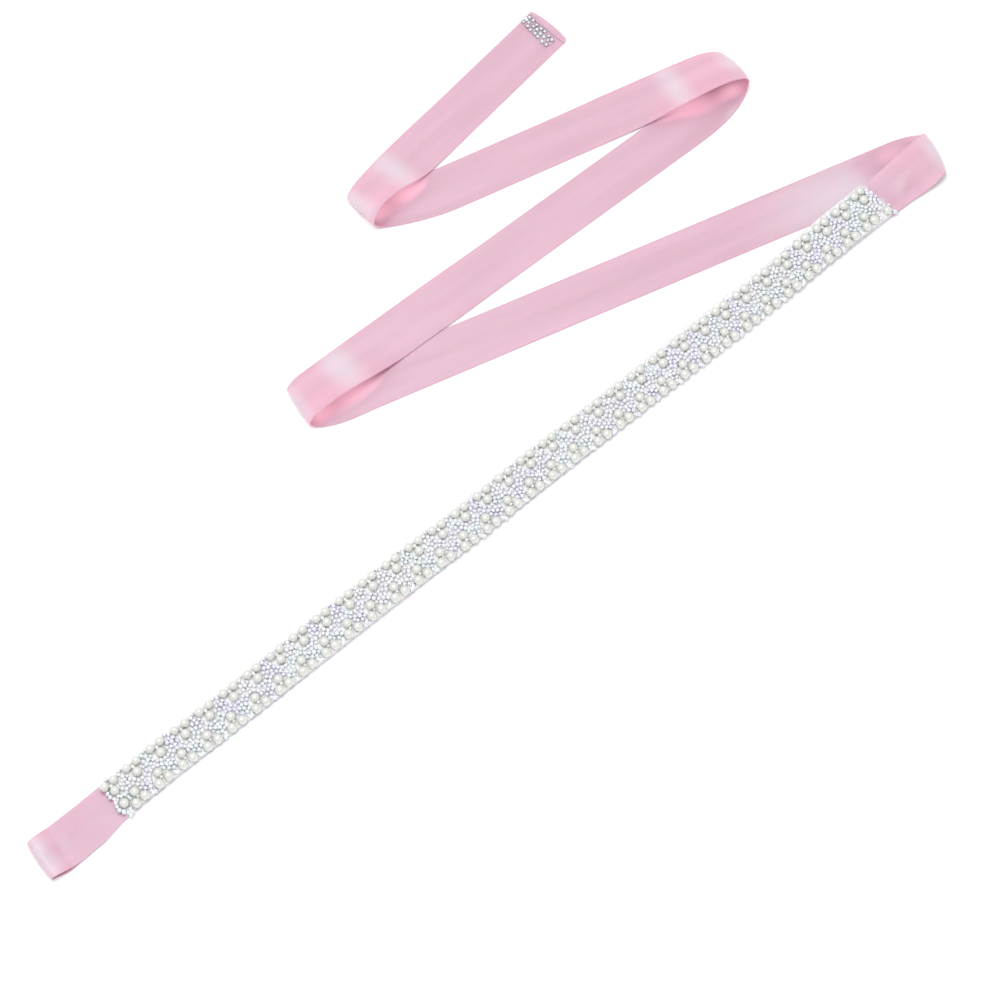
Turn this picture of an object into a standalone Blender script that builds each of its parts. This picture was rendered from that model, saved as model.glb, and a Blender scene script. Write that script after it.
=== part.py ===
"""Bridal sash: a satin ribbon laid in a zigzag of soft folds, with a straight strip of pearls sewn on it.

The sash lies flat on a table, z = 0. Each stretch has a far edge, at its upper left seen from above, and
a near edge at its lower right. Sizes are in millimetres, and MM turns them into metres where a mesh is made.
"""

import math

import bmesh
import bpy
import numpy as np
from mathutils import Matrix

MM = 0.001

# Ribbon: its wall, and the middle heights of a layer on the table and of a layer on that one
RIBBON_WIDTH = 25.0
WALL = 1.0
LAYER_GAP = 0.3
FLOOR_LAYER = WALL / 2
UPPER_LAYER = FLOOR_LAYER + WALL + LAYER_GAP
SETTLE = 30.0
SATIN_SHADING = 40.0

# Folds: an upper leg rises to its full lift at a quarter of its arch, where sqrt(s) * (1 - s)^1.5 has
# its peak; a lower leg curls down to the table within FOOT_CURL times the height of its crest
LIFT_PEAK = 1 / (math.sqrt(0.25) * 0.75**1.5)
FOOT_CURL = 1.5
CREST_GAP = 0.3

# Sections: their number on each leg, how closely they crowd towards the crest, and the strips across
TOP_SECTIONS = 9
FOOT_SECTIONS = 7
CROWDING = 2.5
STRAIGHT_SPACING = 14.0
STRIPS_ACROSS = 4

# Beaded strip: its backing, and the large pearls in trefoils that alternate from edge to edge
STRIP_LENGTH = 485.4
STRIP_WIDTH = 20.6
STRIP_WALL = 1.0
RIGHT_END_SKEW = 0.17
SKEWED_LENGTH = 10.0
PEARL_DIAMETER = 5.0
PEARL_SPACING = 5.6
PEARL_EDGE_ROW = 8.0
PEARL_INNER_ROW = 3.4
PEARL_SINK = 0.27
PEARL_BED = 0.5
PEARL_SIDES = 7
PEARL_RINGS = 5
PEARL_SHADING = 60.0
TREFOILS = 35
END_MARGIN = 3.0
LEFT_CORNER_PEARL = (2.5, -4.3)
RIGHT_CORNER_PEARL = (1.2, -8.8)

# The pearls are sewn on by hand: how far their pattern is shifted along the strip, and where its centre
# line wanders across the strip
PATTERN_COLUMNS = ("along", "shift", "centre")
PATTERN = (
    (-243.0, -2.6, -0.4),
    (-226.0, -3.2, 0.4),
    (-208.0, -2.9, 0.8),
    (-184.0, -2.2, 0.0),
    (-156.0, -1.3, 0.0),
    (-107.0, -0.6, 0.7),
    (-65.0, 0.3, 0.4),
    (-30.0, 0.7, -0.8),
    (18.0, 1.0, 0.0),
    (60.0, 2.0, -0.8),
    (110.0, 1.9, -1.4),
    (145.0, 1.1, -1.7),
    (172.0, 1.0, -1.4),
    (199.0, 1.1, -0.5),
    (220.0, 0.2, 0.0),
    (243.0, -1.0, 1.0),
)

# Loose end: the rolled hem across it, and the narrow strip for the small stones
END_ALONG = 49.5
HEM_DEPTH = 3.8
HEM_THICKNESS = 2.0
HEM_LENGTH = 22.4
HEM_ROLL = 0.84
HEM_ROLL_STEPS = 3
TRIM_ALONG = 41.6
TRIM_ACROSS = 2.2
TRIM_LENGTH = 20.4
TRIM_DEPTH = 5.4
TRIM_SLANT = -6.0
TRIM_EDGE = 0.3
TRIM_EDGE_STEPS = 2

# Length of the hidden stretch turned under at the tail
TURN_UNDER = 18.0

# The middle of the whole laid-out sash, which becomes the origin
LAYOUT_CENTRE = (3.5354, 41.4448)

# Each straight stretch: a point on its centre line and its heading in degrees. Stretch six is the hidden
# one, which lies back under stretch five
RUN_COLUMNS = ("x", "y", "heading")
RUNS = {
    1: (-6.9, 228.6, 47.7),
    2: (28.1, 196.7, 26.3),
    3: (14.6, 141.4, 38.8),
    4: (75.5, 125.3, 24.9),
    5: (5.5, 5.7, 40.3),
    6: (5.5, 5.7, 40.3),
}

# The fifth stretch is drawn in by its stitches under the beads: how far its edges lie from its centre line
DRAWN_IN_COLUMNS = ("along", "far", "near")
DRAWN_IN = (
    (-400.0, 9.6, 13.7),
    (-278.0, 9.6, 13.7),
    (-260.0, 9.5, 12.9),
    (-243.0, 9.9, 10.6),
    (-200.0, 10.1, 10.5),
    (-40.0, 10.0, 10.9),
    (150.0, 10.2, 11.4),
    (200.0, 10.7, 10.9),
    (243.0, 10.9, 11.2),
    (262.0, 11.6, 11.7),
    (400.0, 12.2, 12.2),
)

# Each fold: the stretch on top, the stretch below, how far the upper one rests on the lower one, and how
# far the crest bows out between its two edges
FOLD_COLUMNS = ("top", "foot", "overlap", "bow")
FOLDS = {
    1: (1, 2, 48.0, 0.3),
    2: (2, 3, 66.0, 1.5),
    3: (3, 4, 92.0, 0.3),
    4: (5, 4, 88.0, 1.4),
    5: (5, 6, 24.0, 0.6),
}

# Each edge of each fold: where it turns (the crest), then for its upper leg the heading it leaves at, the
# reach over which it joins its straight stretch, its lift and the length of that arch, and for its lower
# leg the heading and the reach
EDGE_COLUMNS = ("x", "y", "z", "top_heading", "top_reach", "lift", "arch", "foot_heading", "foot_reach")
FOLD_EDGES = {
    (1, "far"): (-77.0, 162.6, 2.8, 66.0, 38.0, 2.4, 18.0, 14.0, 32.0),
    (1, "near"): (-63.0, 146.6, 6.5, 60.0, 44.0, 8.0, 44.0, 8.0, 45.0),
    (2, "far"): (114.5, 245.2, 3.2, 174.0, 40.0, 3.0, 24.0, 236.0, 44.0),
    (2, "near"): (127.2, 228.0, 6.0, 206.0, 60.0, 9.0, 60.0, 256.0, 48.0),
    (3, "far"): (-104.4, 57.2, 2.8, 54.0, 32.0, 2.6, 18.0, 18.0, 32.0),
    (3, "near"): (-92.8, 38.2, 4.5, 40.0, 62.0, 6.5, 62.0, -6.0, 36.0),
    (4, "far"): (215.6, 198.6, 4.5, 226.0, 46.0, 5.0, 46.0, 184.0, 32.0),
    (4, "near"): (225.4, 177.0, 2.6, 236.0, 26.0, 2.0, 14.0, 197.0, 36.0),
    (5, "far"): (-218.4, -172.4, 2.2, 46.0, 18.0, 1.8, 12.0, 40.0, 10.0),
    (5, "near"): (-206.2, -189.2, 2.2, 30.0, 18.0, 1.8, 12.0, 40.0, 10.0),
}
EDGES = ("far", "near")
RIGHT_HAND_FOLDS = (2, 4)


def smooth(x):
    """A soft step from 0 to 1."""
    x = min(1.0, max(0.0, x))
    return x * x * (3.0 - 2.0 * x)


def heading_vector(degrees):
    return np.array([math.cos(math.radians(degrees)), math.sin(math.radians(degrees))])


def run_of(number):
    return dict(zip(RUN_COLUMNS, RUNS[number]))


def fold_of(fold):
    return dict(zip(FOLD_COLUMNS, FOLDS[fold]))


def fold_edge(fold, edge):
    return dict(zip(EDGE_COLUMNS, FOLD_EDGES[fold, edge]))


def read_between(table, columns, name, along):
    """A column's value at a distance along the fifth stretch, easing from row to row."""
    rows = np.array(table).T
    alongs = rows[0]
    values = rows[columns.index(name)]
    span = int(np.clip(np.searchsorted(alongs, along) - 1, 0, len(alongs) - 2))
    share = (along - alongs[span]) / (alongs[span + 1] - alongs[span])
    return values[span] + (values[span + 1] - values[span]) * smooth(share)


def edge_offset(number, edge, along):
    """How far a stretch's far or near edge lies from its centre line."""
    if number < 5:
        return RIBBON_WIDTH / 2
    return read_between(DRAWN_IN, DRAWN_IN_COLUMNS, edge, along)


def point_on_run(number, along, across):
    """The plan point at a distance along a stretch's centre line and across it, towards the far side."""
    run = run_of(number)
    forward = heading_vector(run["heading"])
    far_side = np.array([-forward[1], forward[0]])
    return np.array([run["x"], run["y"]]) + forward * along + far_side * across


def edge_point(number, edge, along):
    side = 1.0 if edge == "far" else -1.0
    return point_on_run(number, along, side * edge_offset(number, edge, along))


def along_of(number, point):
    """The distance along a stretch's centre line at which a plan point lies."""
    run = run_of(number)
    return float((np.array(point) - (run["x"], run["y"])) @ heading_vector(run["heading"]))


def leg_sign(fold):
    """+1 where the stretches leave the fold along their headings, -1 where they leave it against them."""
    return -1.0 if fold in RIGHT_HAND_FOLDS else 1.0


def leg_end(fold, edge, layer):
    """How far along its stretch a leg of the fold joins the straight edge."""
    row = fold_edge(fold, edge)
    return along_of(fold_of(fold)[layer], (row["x"], row["y"])) + leg_sign(fold) * row[layer + "_reach"]


def leg_plan(fold, edge, layer, x):
    """A leg's plan point on a cubic curve, x = 0 at the crest and x = 1 where it joins the stretch."""
    row = fold_edge(fold, edge)
    number = fold_of(fold)[layer]
    reach = row[layer + "_reach"]
    crest = np.array([row["x"], row["y"]])
    end = edge_point(number, edge, leg_end(fold, edge, layer))
    leave = heading_vector(row[layer + "_heading"]) * reach
    arrive = heading_vector(run_of(number)["heading"]) * leg_sign(fold) * reach
    return (
        (2 * x**3 - 3 * x**2 + 1) * crest
        + (x**3 - 2 * x**2 + x) * leave
        + (3 * x**2 - 2 * x**3) * end
        + (x**3 - x**2) * arrive
    )


def leg_height(fold, edge, layer, x):
    """The upper leg arches over and settles on the layer below, the lower one curls under to the table."""
    row = fold_edge(fold, edge)
    distance = x * row[layer + "_reach"]
    if layer == "top":
        share = min(1.0, distance / row["arch"])
        arch = row["lift"] * LIFT_PEAK * math.sqrt(share) * (1 - share) ** 1.5
        return row["z"] + (UPPER_LAYER - row["z"]) * smooth(x) + arch
    curl = min(1.0, distance / (FOOT_CURL * row["z"]))
    return FLOOR_LAYER + (row["z"] - FLOOR_LAYER) * (1 - math.sqrt(1 - (1 - curl) ** 2))


def crest_start(fold, edge, layer):
    """Where a leg starts, just clear of the crest, so that the two legs stay a seam apart."""
    row = fold_edge(fold, edge)
    if layer == "top":
        return (CREST_GAP / (row["lift"] * LIFT_PEAK)) ** 2 * row["arch"] / row["top_reach"]
    drop = row["z"] - FLOOR_LAYER
    return (CREST_GAP / drop) ** 2 / 2 * FOOT_CURL * row["z"] / row["foot_reach"]


def crest_bow(fold):
    """The plan vector by which the middle of the crest stands out beyond the line between its edges."""
    far = np.array(FOLD_EDGES[fold, "far"][:2])
    near = np.array(FOLD_EDGES[fold, "near"][:2])
    row = fold_of(fold)
    outward = np.array([near[1] - far[1], far[0] - near[0]]) / np.linalg.norm(near - far)
    inward = heading_vector(run_of(row["top"])["heading"]) * leg_sign(fold)
    return outward * row["bow"] * (-1.0 if outward @ inward > 0 else 1.0)


def leg_sections(fold, layer, sections):
    """Sections of one leg from the crest outwards: the far point, the near point and the bow between."""
    rows = []
    for step in range(sections + 1):
        share = (step / sections) ** CROWDING
        pair = []
        for edge in EDGES:
            start = crest_start(fold, edge, layer)
            x = start + (1 - start) * share
            pair.append(np.array([*leg_plan(fold, edge, layer, x), leg_height(fold, edge, layer, x)]))
        bow = np.array([*crest_bow(fold), 0.0]) * (1 - smooth(share))
        rows.append((*pair, bow))
    return rows


def rest_height(number, along):
    """Height of a straight stretch's middle: on the table, or settling from the stretch below it."""
    height = FLOOR_LAYER
    for fold in FOLDS:
        row = fold_of(fold)
        if row["top"] != number:
            continue
        distance = leg_sign(fold) * (along - along_of(number, FOLD_EDGES[fold, "near"][:2]))
        height += (UPPER_LAYER - FLOOR_LAYER) * (1 - smooth((distance - row["overlap"]) / SETTLE))
    return height


def flat_section(number, far_along, near_along):
    """A section of a straight stretch through two distances along it, one for each edge."""
    points = [
        np.array([*edge_point(number, edge, along), rest_height(number, along)])
        for edge, along in zip(EDGES, (far_along, near_along))
    ]
    return (*points, np.zeros(3))


def straight_sections(number, start, end):
    """Sections of a stretch between two pairs of distances along it, the ends left out."""
    count = max(2, round(abs(end[0] - start[0]) / STRAIGHT_SPACING))
    rows = []
    for step in range(1, count):
        alongs = [first + (last - first) * step / count for first, last in zip(start, end)]
        rows.append(flat_section(number, *alongs))
    return rows


def leg_ends(fold, layer):
    return [leg_end(fold, edge, layer) for edge in EDGES]


def layer_at(fold, number):
    return "top" if fold_of(fold)["top"] == number else "foot"


def leg_of_run(fold, number):
    """The sections of the leg that a stretch has at a fold, from the crest outwards."""
    layer = layer_at(fold, number)
    return leg_sections(fold, layer, TOP_SECTIONS if layer == "top" else FOOT_SECTIONS)


def run_sections(number):
    """All sections of one of the stretches from one fold, or the loose end, to the next fold."""
    if number == 1:
        start = [END_ALONG - HEM_DEPTH - LAYER_GAP] * 2
        rows = [flat_section(1, *start)]
    else:
        start = leg_ends(number - 1, layer_at(number - 1, number))
        rows = leg_of_run(number - 1, number)
    rows += straight_sections(number, start, leg_ends(number, layer_at(number, number)))
    rows += reversed(leg_of_run(number, number))
    return rows


def split_sections(sections, number, along):
    """The sections before and after a cut across a stretch, a seam's gap apart."""
    middles = [along_of(number, (far + near)[:2] / 2) for far, near, _ in sections]
    ahead = [row for row, middle in zip(sections, middles) if middle > along + WALL]
    behind = [row for row, middle in zip(sections, middles) if middle < along - WALL]
    ahead.append(flat_section(number, *[along + LAYER_GAP / 2] * 2))
    behind.insert(0, flat_section(number, *[along - LAYER_GAP / 2] * 2))
    return ahead, behind


def turned_under_sections():
    """The short hidden stretch under the tail, from the tail's fold inwards."""
    rows = leg_of_run(5, 6)
    further = TURN_UNDER - fold_edge(5, "far")["foot_reach"]
    rows.append(flat_section(6, *[along + further for along in leg_ends(5, "foot")]))
    return rows


def new_object(name, mesh, material, collection):
    mesh.materials.append(material)
    obj = bpy.data.objects.new(name, mesh)
    collection.objects.link(obj)
    return obj


def shade_round(mesh, degrees):
    mesh.shade_smooth()
    mesh.set_sharp_from_angle(angle=math.radians(degrees))


def make_material(name, colour, roughness, metallic=0.0):
    material = bpy.data.materials.new(name)
    material.use_nodes = True
    shader = material.node_tree.nodes["Principled BSDF"]
    shader.inputs["Base Color"].default_value = (*colour, 1.0)
    shader.inputs["Roughness"].default_value = roughness
    shader.inputs["Metallic"].default_value = metallic
    return material


def satin_material():
    return make_material("pink_satin", (0.82, 0.50, 0.61), 0.35)


def pearl_material():
    return make_material("ivory_pearl", (0.86, 0.86, 0.83), 0.18)


def crystal_material():
    return make_material("silver_crystal", (0.72, 0.73, 0.76), 0.2, metallic=0.6)


def wall_points(sections):
    """The points across each section, in metres about the middle of the sash."""
    centre = np.array([*LAYOUT_CENTRE, 0.0])
    points = []
    for far, near, bow in sections:
        for step in range(STRIPS_ACROSS + 1):
            share = step / STRIPS_ACROSS
            point = far + (near - far) * share + bow * 4 * share * (1 - share)
            points.append((point - centre) * MM)
    return points


def loft_wall(name, sections, material, collection):
    """A ribbon wall: an open surface through the sections, thickened evenly about its middle."""
    across = STRIPS_ACROSS + 1
    faces = []
    for row in range(len(sections) - 1):
        for column in range(STRIPS_ACROSS):
            corner = row * across + column
            faces.append((corner, corner + 1, corner + across + 1, corner + across))
    mesh = bpy.data.meshes.new(name)
    mesh.from_pydata([tuple(point) for point in wall_points(sections)], [], faces)
    shade_round(mesh, SATIN_SHADING)
    obj = new_object(name, mesh, material, collection)
    wall = obj.modifiers.new("wall", "SOLIDIFY")
    wall.thickness = WALL * MM
    wall.offset = 0.0


def make_ribbon(material, collection):
    """One wall for each stretch that shows, the tail, and the stretch turned under it."""
    for number in (1, 2, 3, 4):
        loft_wall(f"ribbon_run_{number}", run_sections(number), material, collection)
    under_beads, tail = split_sections(run_sections(5), 5, -STRIP_LENGTH / 2)
    loft_wall("ribbon_run_5", under_beads, material, collection)
    loft_wall("ribbon_tail", tail, material, collection)
    loft_wall("tail_turned_under", turned_under_sections(), material, collection)


def run_matrix(number, along, across, height, turn=0.0):
    """Places a piece on a stretch: its x along the stretch, its y towards the far side."""
    x, y = point_on_run(number, along, across) - LAYOUT_CENTRE
    place = Matrix.Translation((x * MM, y * MM, height * MM))
    return place @ Matrix.Rotation(math.radians(run_of(number)["heading"] + turn), 4, "Z")


def block_mesh(name, length, depth, height, cuts=0):
    """A block on z = 0, centred in x and y, with cuts across its length."""
    mesh = bpy.data.meshes.new(name)
    work = bmesh.new()
    bmesh.ops.create_cube(work, size=1.0)
    bmesh.ops.translate(work, vec=(0.0, 0.0, 0.5), verts=work.verts)
    bmesh.ops.scale(work, vec=(length * MM, depth * MM, height * MM), verts=work.verts)
    if cuts:
        long_edges = [e for e in work.edges if abs(e.verts[0].co.x - e.verts[1].co.x) > length * MM / 2]
        bmesh.ops.subdivide_edges(work, edges=long_edges, cuts=cuts, use_grid_fill=True)
    work.to_mesh(mesh)
    work.free()
    return mesh


def round_edges(obj, width, steps):
    bevel = obj.modifiers.new("round_edges", "BEVEL")
    bevel.width = width * MM
    bevel.segments = steps
    bevel.limit_method = "NONE"


def make_end_hem(material, collection):
    """The rolled hem across the loose end: a flattened roll."""
    mesh = block_mesh("end_hem", HEM_DEPTH, HEM_LENGTH, HEM_THICKNESS)
    hem = new_object("end_hem", mesh, material, collection)
    hem.matrix_world = run_matrix(1, END_ALONG - HEM_DEPTH / 2, 0.0, 0.0)
    round_edges(hem, HEM_ROLL * HEM_THICKNESS / 2, HEM_ROLL_STEPS)


def make_end_trim(material, collection):
    """The strip for the small stones, lying on the ribbon just inside the hem."""
    mesh = block_mesh("end_trim", TRIM_DEPTH, TRIM_LENGTH, WALL)
    trim = new_object("end_trim", mesh, material, collection)
    trim.matrix_world = run_matrix(1, TRIM_ALONG, TRIM_ACROSS, WALL + LAYER_GAP, TRIM_SLANT)
    round_edges(trim, TRIM_EDGE, TRIM_EDGE_STEPS)


def pearl_places():
    """Centres of the large pearls along and across the strip, with one more at each end's corner."""
    first = -STRIP_LENGTH / 2 + END_MARGIN
    repeat = (STRIP_LENGTH - 2 * END_MARGIN - PEARL_SPACING) / (TREFOILS - 1)
    places = []
    for index in range(2 * TREFOILS - 1):
        side = 1.0 if index % 2 == 0 else -1.0
        start = first + repeat * index / 2
        places.append((start, side * PEARL_EDGE_ROW))
        places.append((start + PEARL_SPACING, side * PEARL_EDGE_ROW))
        places.append((start + PEARL_SPACING / 2, side * PEARL_INNER_ROW))
    places.append((first + LEFT_CORNER_PEARL[0], LEFT_CORNER_PEARL[1]))
    places.append((-first + RIGHT_CORNER_PEARL[0], RIGHT_CORNER_PEARL[1]))
    return places


def pearl_centre(along, across):
    """Where a pearl of the even pattern is really sewn."""
    shift, centre = (read_between(PATTERN, PATTERN_COLUMNS, name, along) for name in ("shift", "centre"))
    return along + shift, across + centre


def pearls_mesh():
    """All pearls as spheres sunk a little into the backing, flattened just above its underside."""
    work = bmesh.new()
    radius = PEARL_DIAMETER / 2
    centre = STRIP_WALL + PEARL_SINK * radius
    for evenly_along, evenly_across in pearl_places():
        along, across = pearl_centre(evenly_along, evenly_across)
        place = Matrix.Translation((along * MM, across * MM, centre * MM))
        bmesh.ops.create_uvsphere(
            work, u_segments=PEARL_SIDES, v_segments=PEARL_RINGS, radius=radius * MM, matrix=place
        )
    for vertex in work.verts:
        vertex.co.z = max(vertex.co.z, PEARL_BED * MM)
    mesh = bpy.data.meshes.new("pearls")
    work.to_mesh(mesh)
    work.free()
    return mesh


def lay_on_ribbon(mesh):
    """Moves the straight strip onto the fifth stretch, which is raised where it crosses the fourth."""
    for vertex in mesh.vertices:
        along, across, height = (value / MM for value in vertex.co)
        skew = smooth((along - STRIP_LENGTH / 2 + SKEWED_LENGTH) / SKEWED_LENGTH)
        moved = along - RIGHT_END_SKEW * across * skew
        height += rest_height(5, along) + WALL / 2 + LAYER_GAP
        x, y = point_on_run(5, moved, across) - LAYOUT_CENTRE
        vertex.co = (x * MM, y * MM, height * MM)


def make_beaded_strip(material, collection, helpers):
    """The backing with its large pearls raised on it; its underside is plain."""
    cuts = round(STRIP_LENGTH / STRAIGHT_SPACING)
    backing = block_mesh("strip_wall", STRIP_LENGTH, STRIP_WIDTH, STRIP_WALL, cuts)
    wall = new_object("strip_wall", backing, material, helpers)
    pearls = new_object("strip_pearls", pearls_mesh(), material, helpers)
    join = wall.modifiers.new("pearls", "BOOLEAN")
    join.operation = "UNION"
    join.object = pearls
    for helper in (wall, pearls):
        helper.hide_render = True
        helper.display_type = "WIRE"
    bpy.context.view_layer.update()
    evaluated = wall.evaluated_get(bpy.context.evaluated_depsgraph_get())
    mesh = bpy.data.meshes.new_from_object(evaluated)
    mesh.name = "beaded_strip"
    mesh.materials.clear()
    lay_on_ribbon(mesh)
    shade_round(mesh, PEARL_SHADING)
    new_object("beaded_strip", mesh, material, collection)


def new_collection(name):
    collection = bpy.data.collections.new(name)
    bpy.context.scene.collection.children.link(collection)
    return collection


def main():
    for obj in list(bpy.data.objects):
        bpy.data.objects.remove(obj)
    sash = new_collection("bridal_sash")
    helpers = new_collection("helpers")
    satin = satin_material()
    make_ribbon(satin, sash)
    make_end_hem(satin, sash)
    make_end_trim(crystal_material(), sash)
    make_beaded_strip(pearl_material(), sash, helpers)


main()
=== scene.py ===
"""Bridal sash: pink satin ribbon laid in a zigzag of soft folds, with a strip of pearls and small beads.

Sizes below are in millimetres in the sash's own plan, and MM turns them into metres where a mesh is made.
"""

import math
import random

import bmesh
import bpy
import numpy as np
from bpy.props import FloatProperty, FloatVectorProperty, IntProperty, PointerProperty
from bpy.types import Operator, Panel, PropertyGroup
from mathutils import Matrix, Vector


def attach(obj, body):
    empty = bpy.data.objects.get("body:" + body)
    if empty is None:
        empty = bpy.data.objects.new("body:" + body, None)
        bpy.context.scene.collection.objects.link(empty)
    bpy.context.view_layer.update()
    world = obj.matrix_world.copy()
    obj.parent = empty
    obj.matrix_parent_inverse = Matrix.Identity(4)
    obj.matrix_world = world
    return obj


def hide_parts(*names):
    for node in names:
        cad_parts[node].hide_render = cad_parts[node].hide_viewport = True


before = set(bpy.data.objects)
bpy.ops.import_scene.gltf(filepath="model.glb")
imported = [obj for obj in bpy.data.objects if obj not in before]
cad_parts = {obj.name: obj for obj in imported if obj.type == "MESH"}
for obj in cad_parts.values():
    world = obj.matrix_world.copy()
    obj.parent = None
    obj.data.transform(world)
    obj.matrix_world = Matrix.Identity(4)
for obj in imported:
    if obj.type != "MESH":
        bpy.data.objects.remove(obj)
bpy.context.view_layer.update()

bl_info = {
    "name": "Bridal Sash",
    "version": (1, 0, 0),
    "blender": (4, 5, 0),
    "location": "View3D > Sidebar > Sash",
    "description": "Dresses the laid-out sash with satin, pearls, small beads and stitches",
    "category": "Object",
}

MM = 0.001
BODY = "root"

# Layout of the ribbon: its stretches from the loose end to the tail, each with a point and a heading
RIBBON_WIDTH = 25.0
LAYOUT_CENTRE = (3.5354, 41.4448)
END_RUN = 1
STRIP_RUN = 5
TAIL_RUN = 6
RUN_COLUMNS = ("x", "y", "heading")
RUNS = {
    1: (-6.9, 228.6, 47.7),
    2: (28.1, 196.7, 26.3),
    3: (14.6, 141.4, 38.8),
    4: (75.5, 125.3, 24.9),
    5: (5.5, 5.7, 40.3),
    6: (5.5, 5.7, 40.3),
}

# How far the ribbon's two edges lie from the centre line where the beaded strip draws it in
DRAWN_IN_COLUMNS = ("along", "far", "near")
DRAWN_IN = (
    (-400.0, 9.6, 13.7),
    (-278.0, 9.6, 13.7),
    (-260.0, 9.5, 12.9),
    (-243.0, 9.9, 10.6),
    (-200.0, 10.1, 10.5),
    (-40.0, 10.0, 10.9),
    (150.0, 10.2, 11.4),
    (200.0, 10.7, 10.9),
    (243.0, 10.9, 11.2),
    (262.0, 11.6, 11.7),
    (400.0, 12.2, 12.2),
)

# Each fold: its upper and lower stretch, how far they overlap, and how far its crest bows out. Then each
# end of its crest: the plan point and height, the heading and reach of its upper leg, how high that lifts
# and how long its arch is, and the heading and reach of its lower leg
FOLD_COLUMNS = ("top", "foot", "overlap", "bow")
FOLDS = {
    1: (1, 2, 48.0, 0.3),
    2: (2, 3, 66.0, 1.5),
    3: (3, 4, 92.0, 0.3),
    4: (5, 4, 88.0, 1.4),
    5: (5, 6, 24.0, 0.6),
}
EDGE_COLUMNS = ("x", "y", "z", "top_heading", "top_reach", "lift", "arch", "foot_heading", "foot_reach")
FOLD_EDGES = {
    (1, "far"): (-77.0, 162.6, 2.8, 66.0, 38.0, 2.4, 18.0, 14.0, 32.0),
    (1, "near"): (-63.0, 146.6, 6.5, 60.0, 44.0, 8.0, 44.0, 8.0, 45.0),
    (2, "far"): (114.5, 245.2, 3.2, 174.0, 40.0, 3.0, 24.0, 236.0, 44.0),
    (2, "near"): (127.2, 228.0, 6.0, 206.0, 60.0, 9.0, 60.0, 256.0, 48.0),
    (3, "far"): (-104.4, 57.2, 2.8, 54.0, 32.0, 2.6, 18.0, 18.0, 32.0),
    (3, "near"): (-92.8, 38.2, 4.5, 40.0, 62.0, 6.5, 62.0, -6.0, 36.0),
    (4, "far"): (215.6, 198.6, 4.5, 226.0, 46.0, 5.0, 46.0, 168.0, 20.0),
    (4, "near"): (225.4, 177.0, 2.6, 236.0, 26.0, 2.0, 14.0, 197.0, 36.0),
    (5, "far"): (-218.4, -172.4, 2.2, 46.0, 18.0, 1.8, 12.0, 40.0, 10.0),
    (5, "near"): (-206.2, -189.2, 2.2, 30.0, 18.0, 1.8, 12.0, 40.0, 10.0),
}
EDGES = ("far", "near")
RIGHT_HAND_FOLDS = (2, 4)
LAST_FOLD = 5

# The lift's curve peaks a quarter of the way along its arch, and this factor brings the peak to 1
LIFT_PEAK = 1 / (math.sqrt(0.25) * 0.75**1.5)

# How far a lower leg takes to curl down to the table, in heights of its crest, and how round a corner is
FOOT_CURL = 1.5
FOOT_CURLS = {(4, "far"): 5.0}
CORNER_ROUNDS = {(4, "far"): 2.4}

# How far an upper stretch takes to come down past the one below, where the loose end stops, and how
# much of the tail is turned under
SETTLE = 30.0
END_ALONG = 49.5
TURN_UNDER = 18.0

# Fineness of the satin sheet
TOP_SECTIONS = 40
FOOT_SECTIONS = 26
CROWDING = 2.2
STRAIGHT_SPACING = 4.0

# Beaded strip, with pearls in trefoils that alternate from edge to edge
STRIP_LENGTH = 485.4
RIGHT_END_SKEW = 0.17
SKEWED_LENGTH = 10.0
PEARL_SPACING = 5.6
PEARL_EDGE_ROW = 8.0
PEARL_INNER_ROW = 3.4
TREFOILS = 35
END_MARGIN = 3.0
LEFT_CORNER_PEARL = (2.5, -4.3)
RIGHT_CORNER_PEARL = (1.2, -8.8)

# Sewn by hand: how far the even pattern is shifted along the strip, and where its centre runs
PATTERN_COLUMNS = ("along", "shift", "centre")
PATTERN = (
    (-243.0, -2.6, -0.4),
    (-226.0, -3.2, 0.4),
    (-208.0, -2.9, 0.8),
    (-184.0, -2.2, 0.0),
    (-156.0, -1.3, 0.0),
    (-107.0, -0.6, 0.7),
    (-65.0, 0.3, 0.4),
    (-30.0, 0.7, -0.8),
    (18.0, 1.0, 0.0),
    (60.0, 2.0, -0.8),
    (110.0, 1.9, -1.4),
    (145.0, 1.1, -1.7),
    (172.0, 1.0, -1.4),
    (199.0, 1.1, -0.5),
    (220.0, 0.2, 0.0),
    (243.0, -1.0, 1.0),
)

# Felt behind the beads: how far its edges lie from the strip's middle line
BACKING_COLUMNS = ("along", "far", "near")
BACKING = (
    (-243.0, 9.4, 9.7),
    (-200.0, 9.2, 9.8),
    (-130.0, 9.0, 10.0),
    (0.0, 9.1, 10.2),
    (110.0, 9.3, 10.6),
    (150.0, 9.8, 10.7),
    (185.0, 10.0, 10.3),
    (212.0, 11.1, 10.3),
    (228.0, 11.5, 10.5),
    (243.0, 11.8, 10.8),
)

# Loose end: the hem's section, out and up, from its sewn edge over and round the end to the underside,
# how far each edge is drawn back, how far the end bows out, and how round its corners are
HEM_DEPTH = 3.8
HEM_SECTION = (
    (-0.2, 0.98),
    (0.3, 1.08),
    (0.9, 1.12),
    (1.8, 1.20),
    (2.8, 1.24),
    (3.35, 1.18),
    (3.58, 0.95),
    (3.58, 0.62),
    (3.35, 0.42),
    (2.9, 0.36),
    (1.6, 0.35),
)
HEM_PULLS = {"far": 1.3, "near": 1.2}
HEM_BOW = 1.0
HEM_CORNERS = {"far": 2.0, "near": 2.8}
TRIM_ALONG = 41.6
TRIM_ACROSS = 2.2
TRIM_LENGTH = 20.4
TRIM_DEPTH = 5.4
TRIM_SLANT = -6.0


# Settings that a user would change


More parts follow.
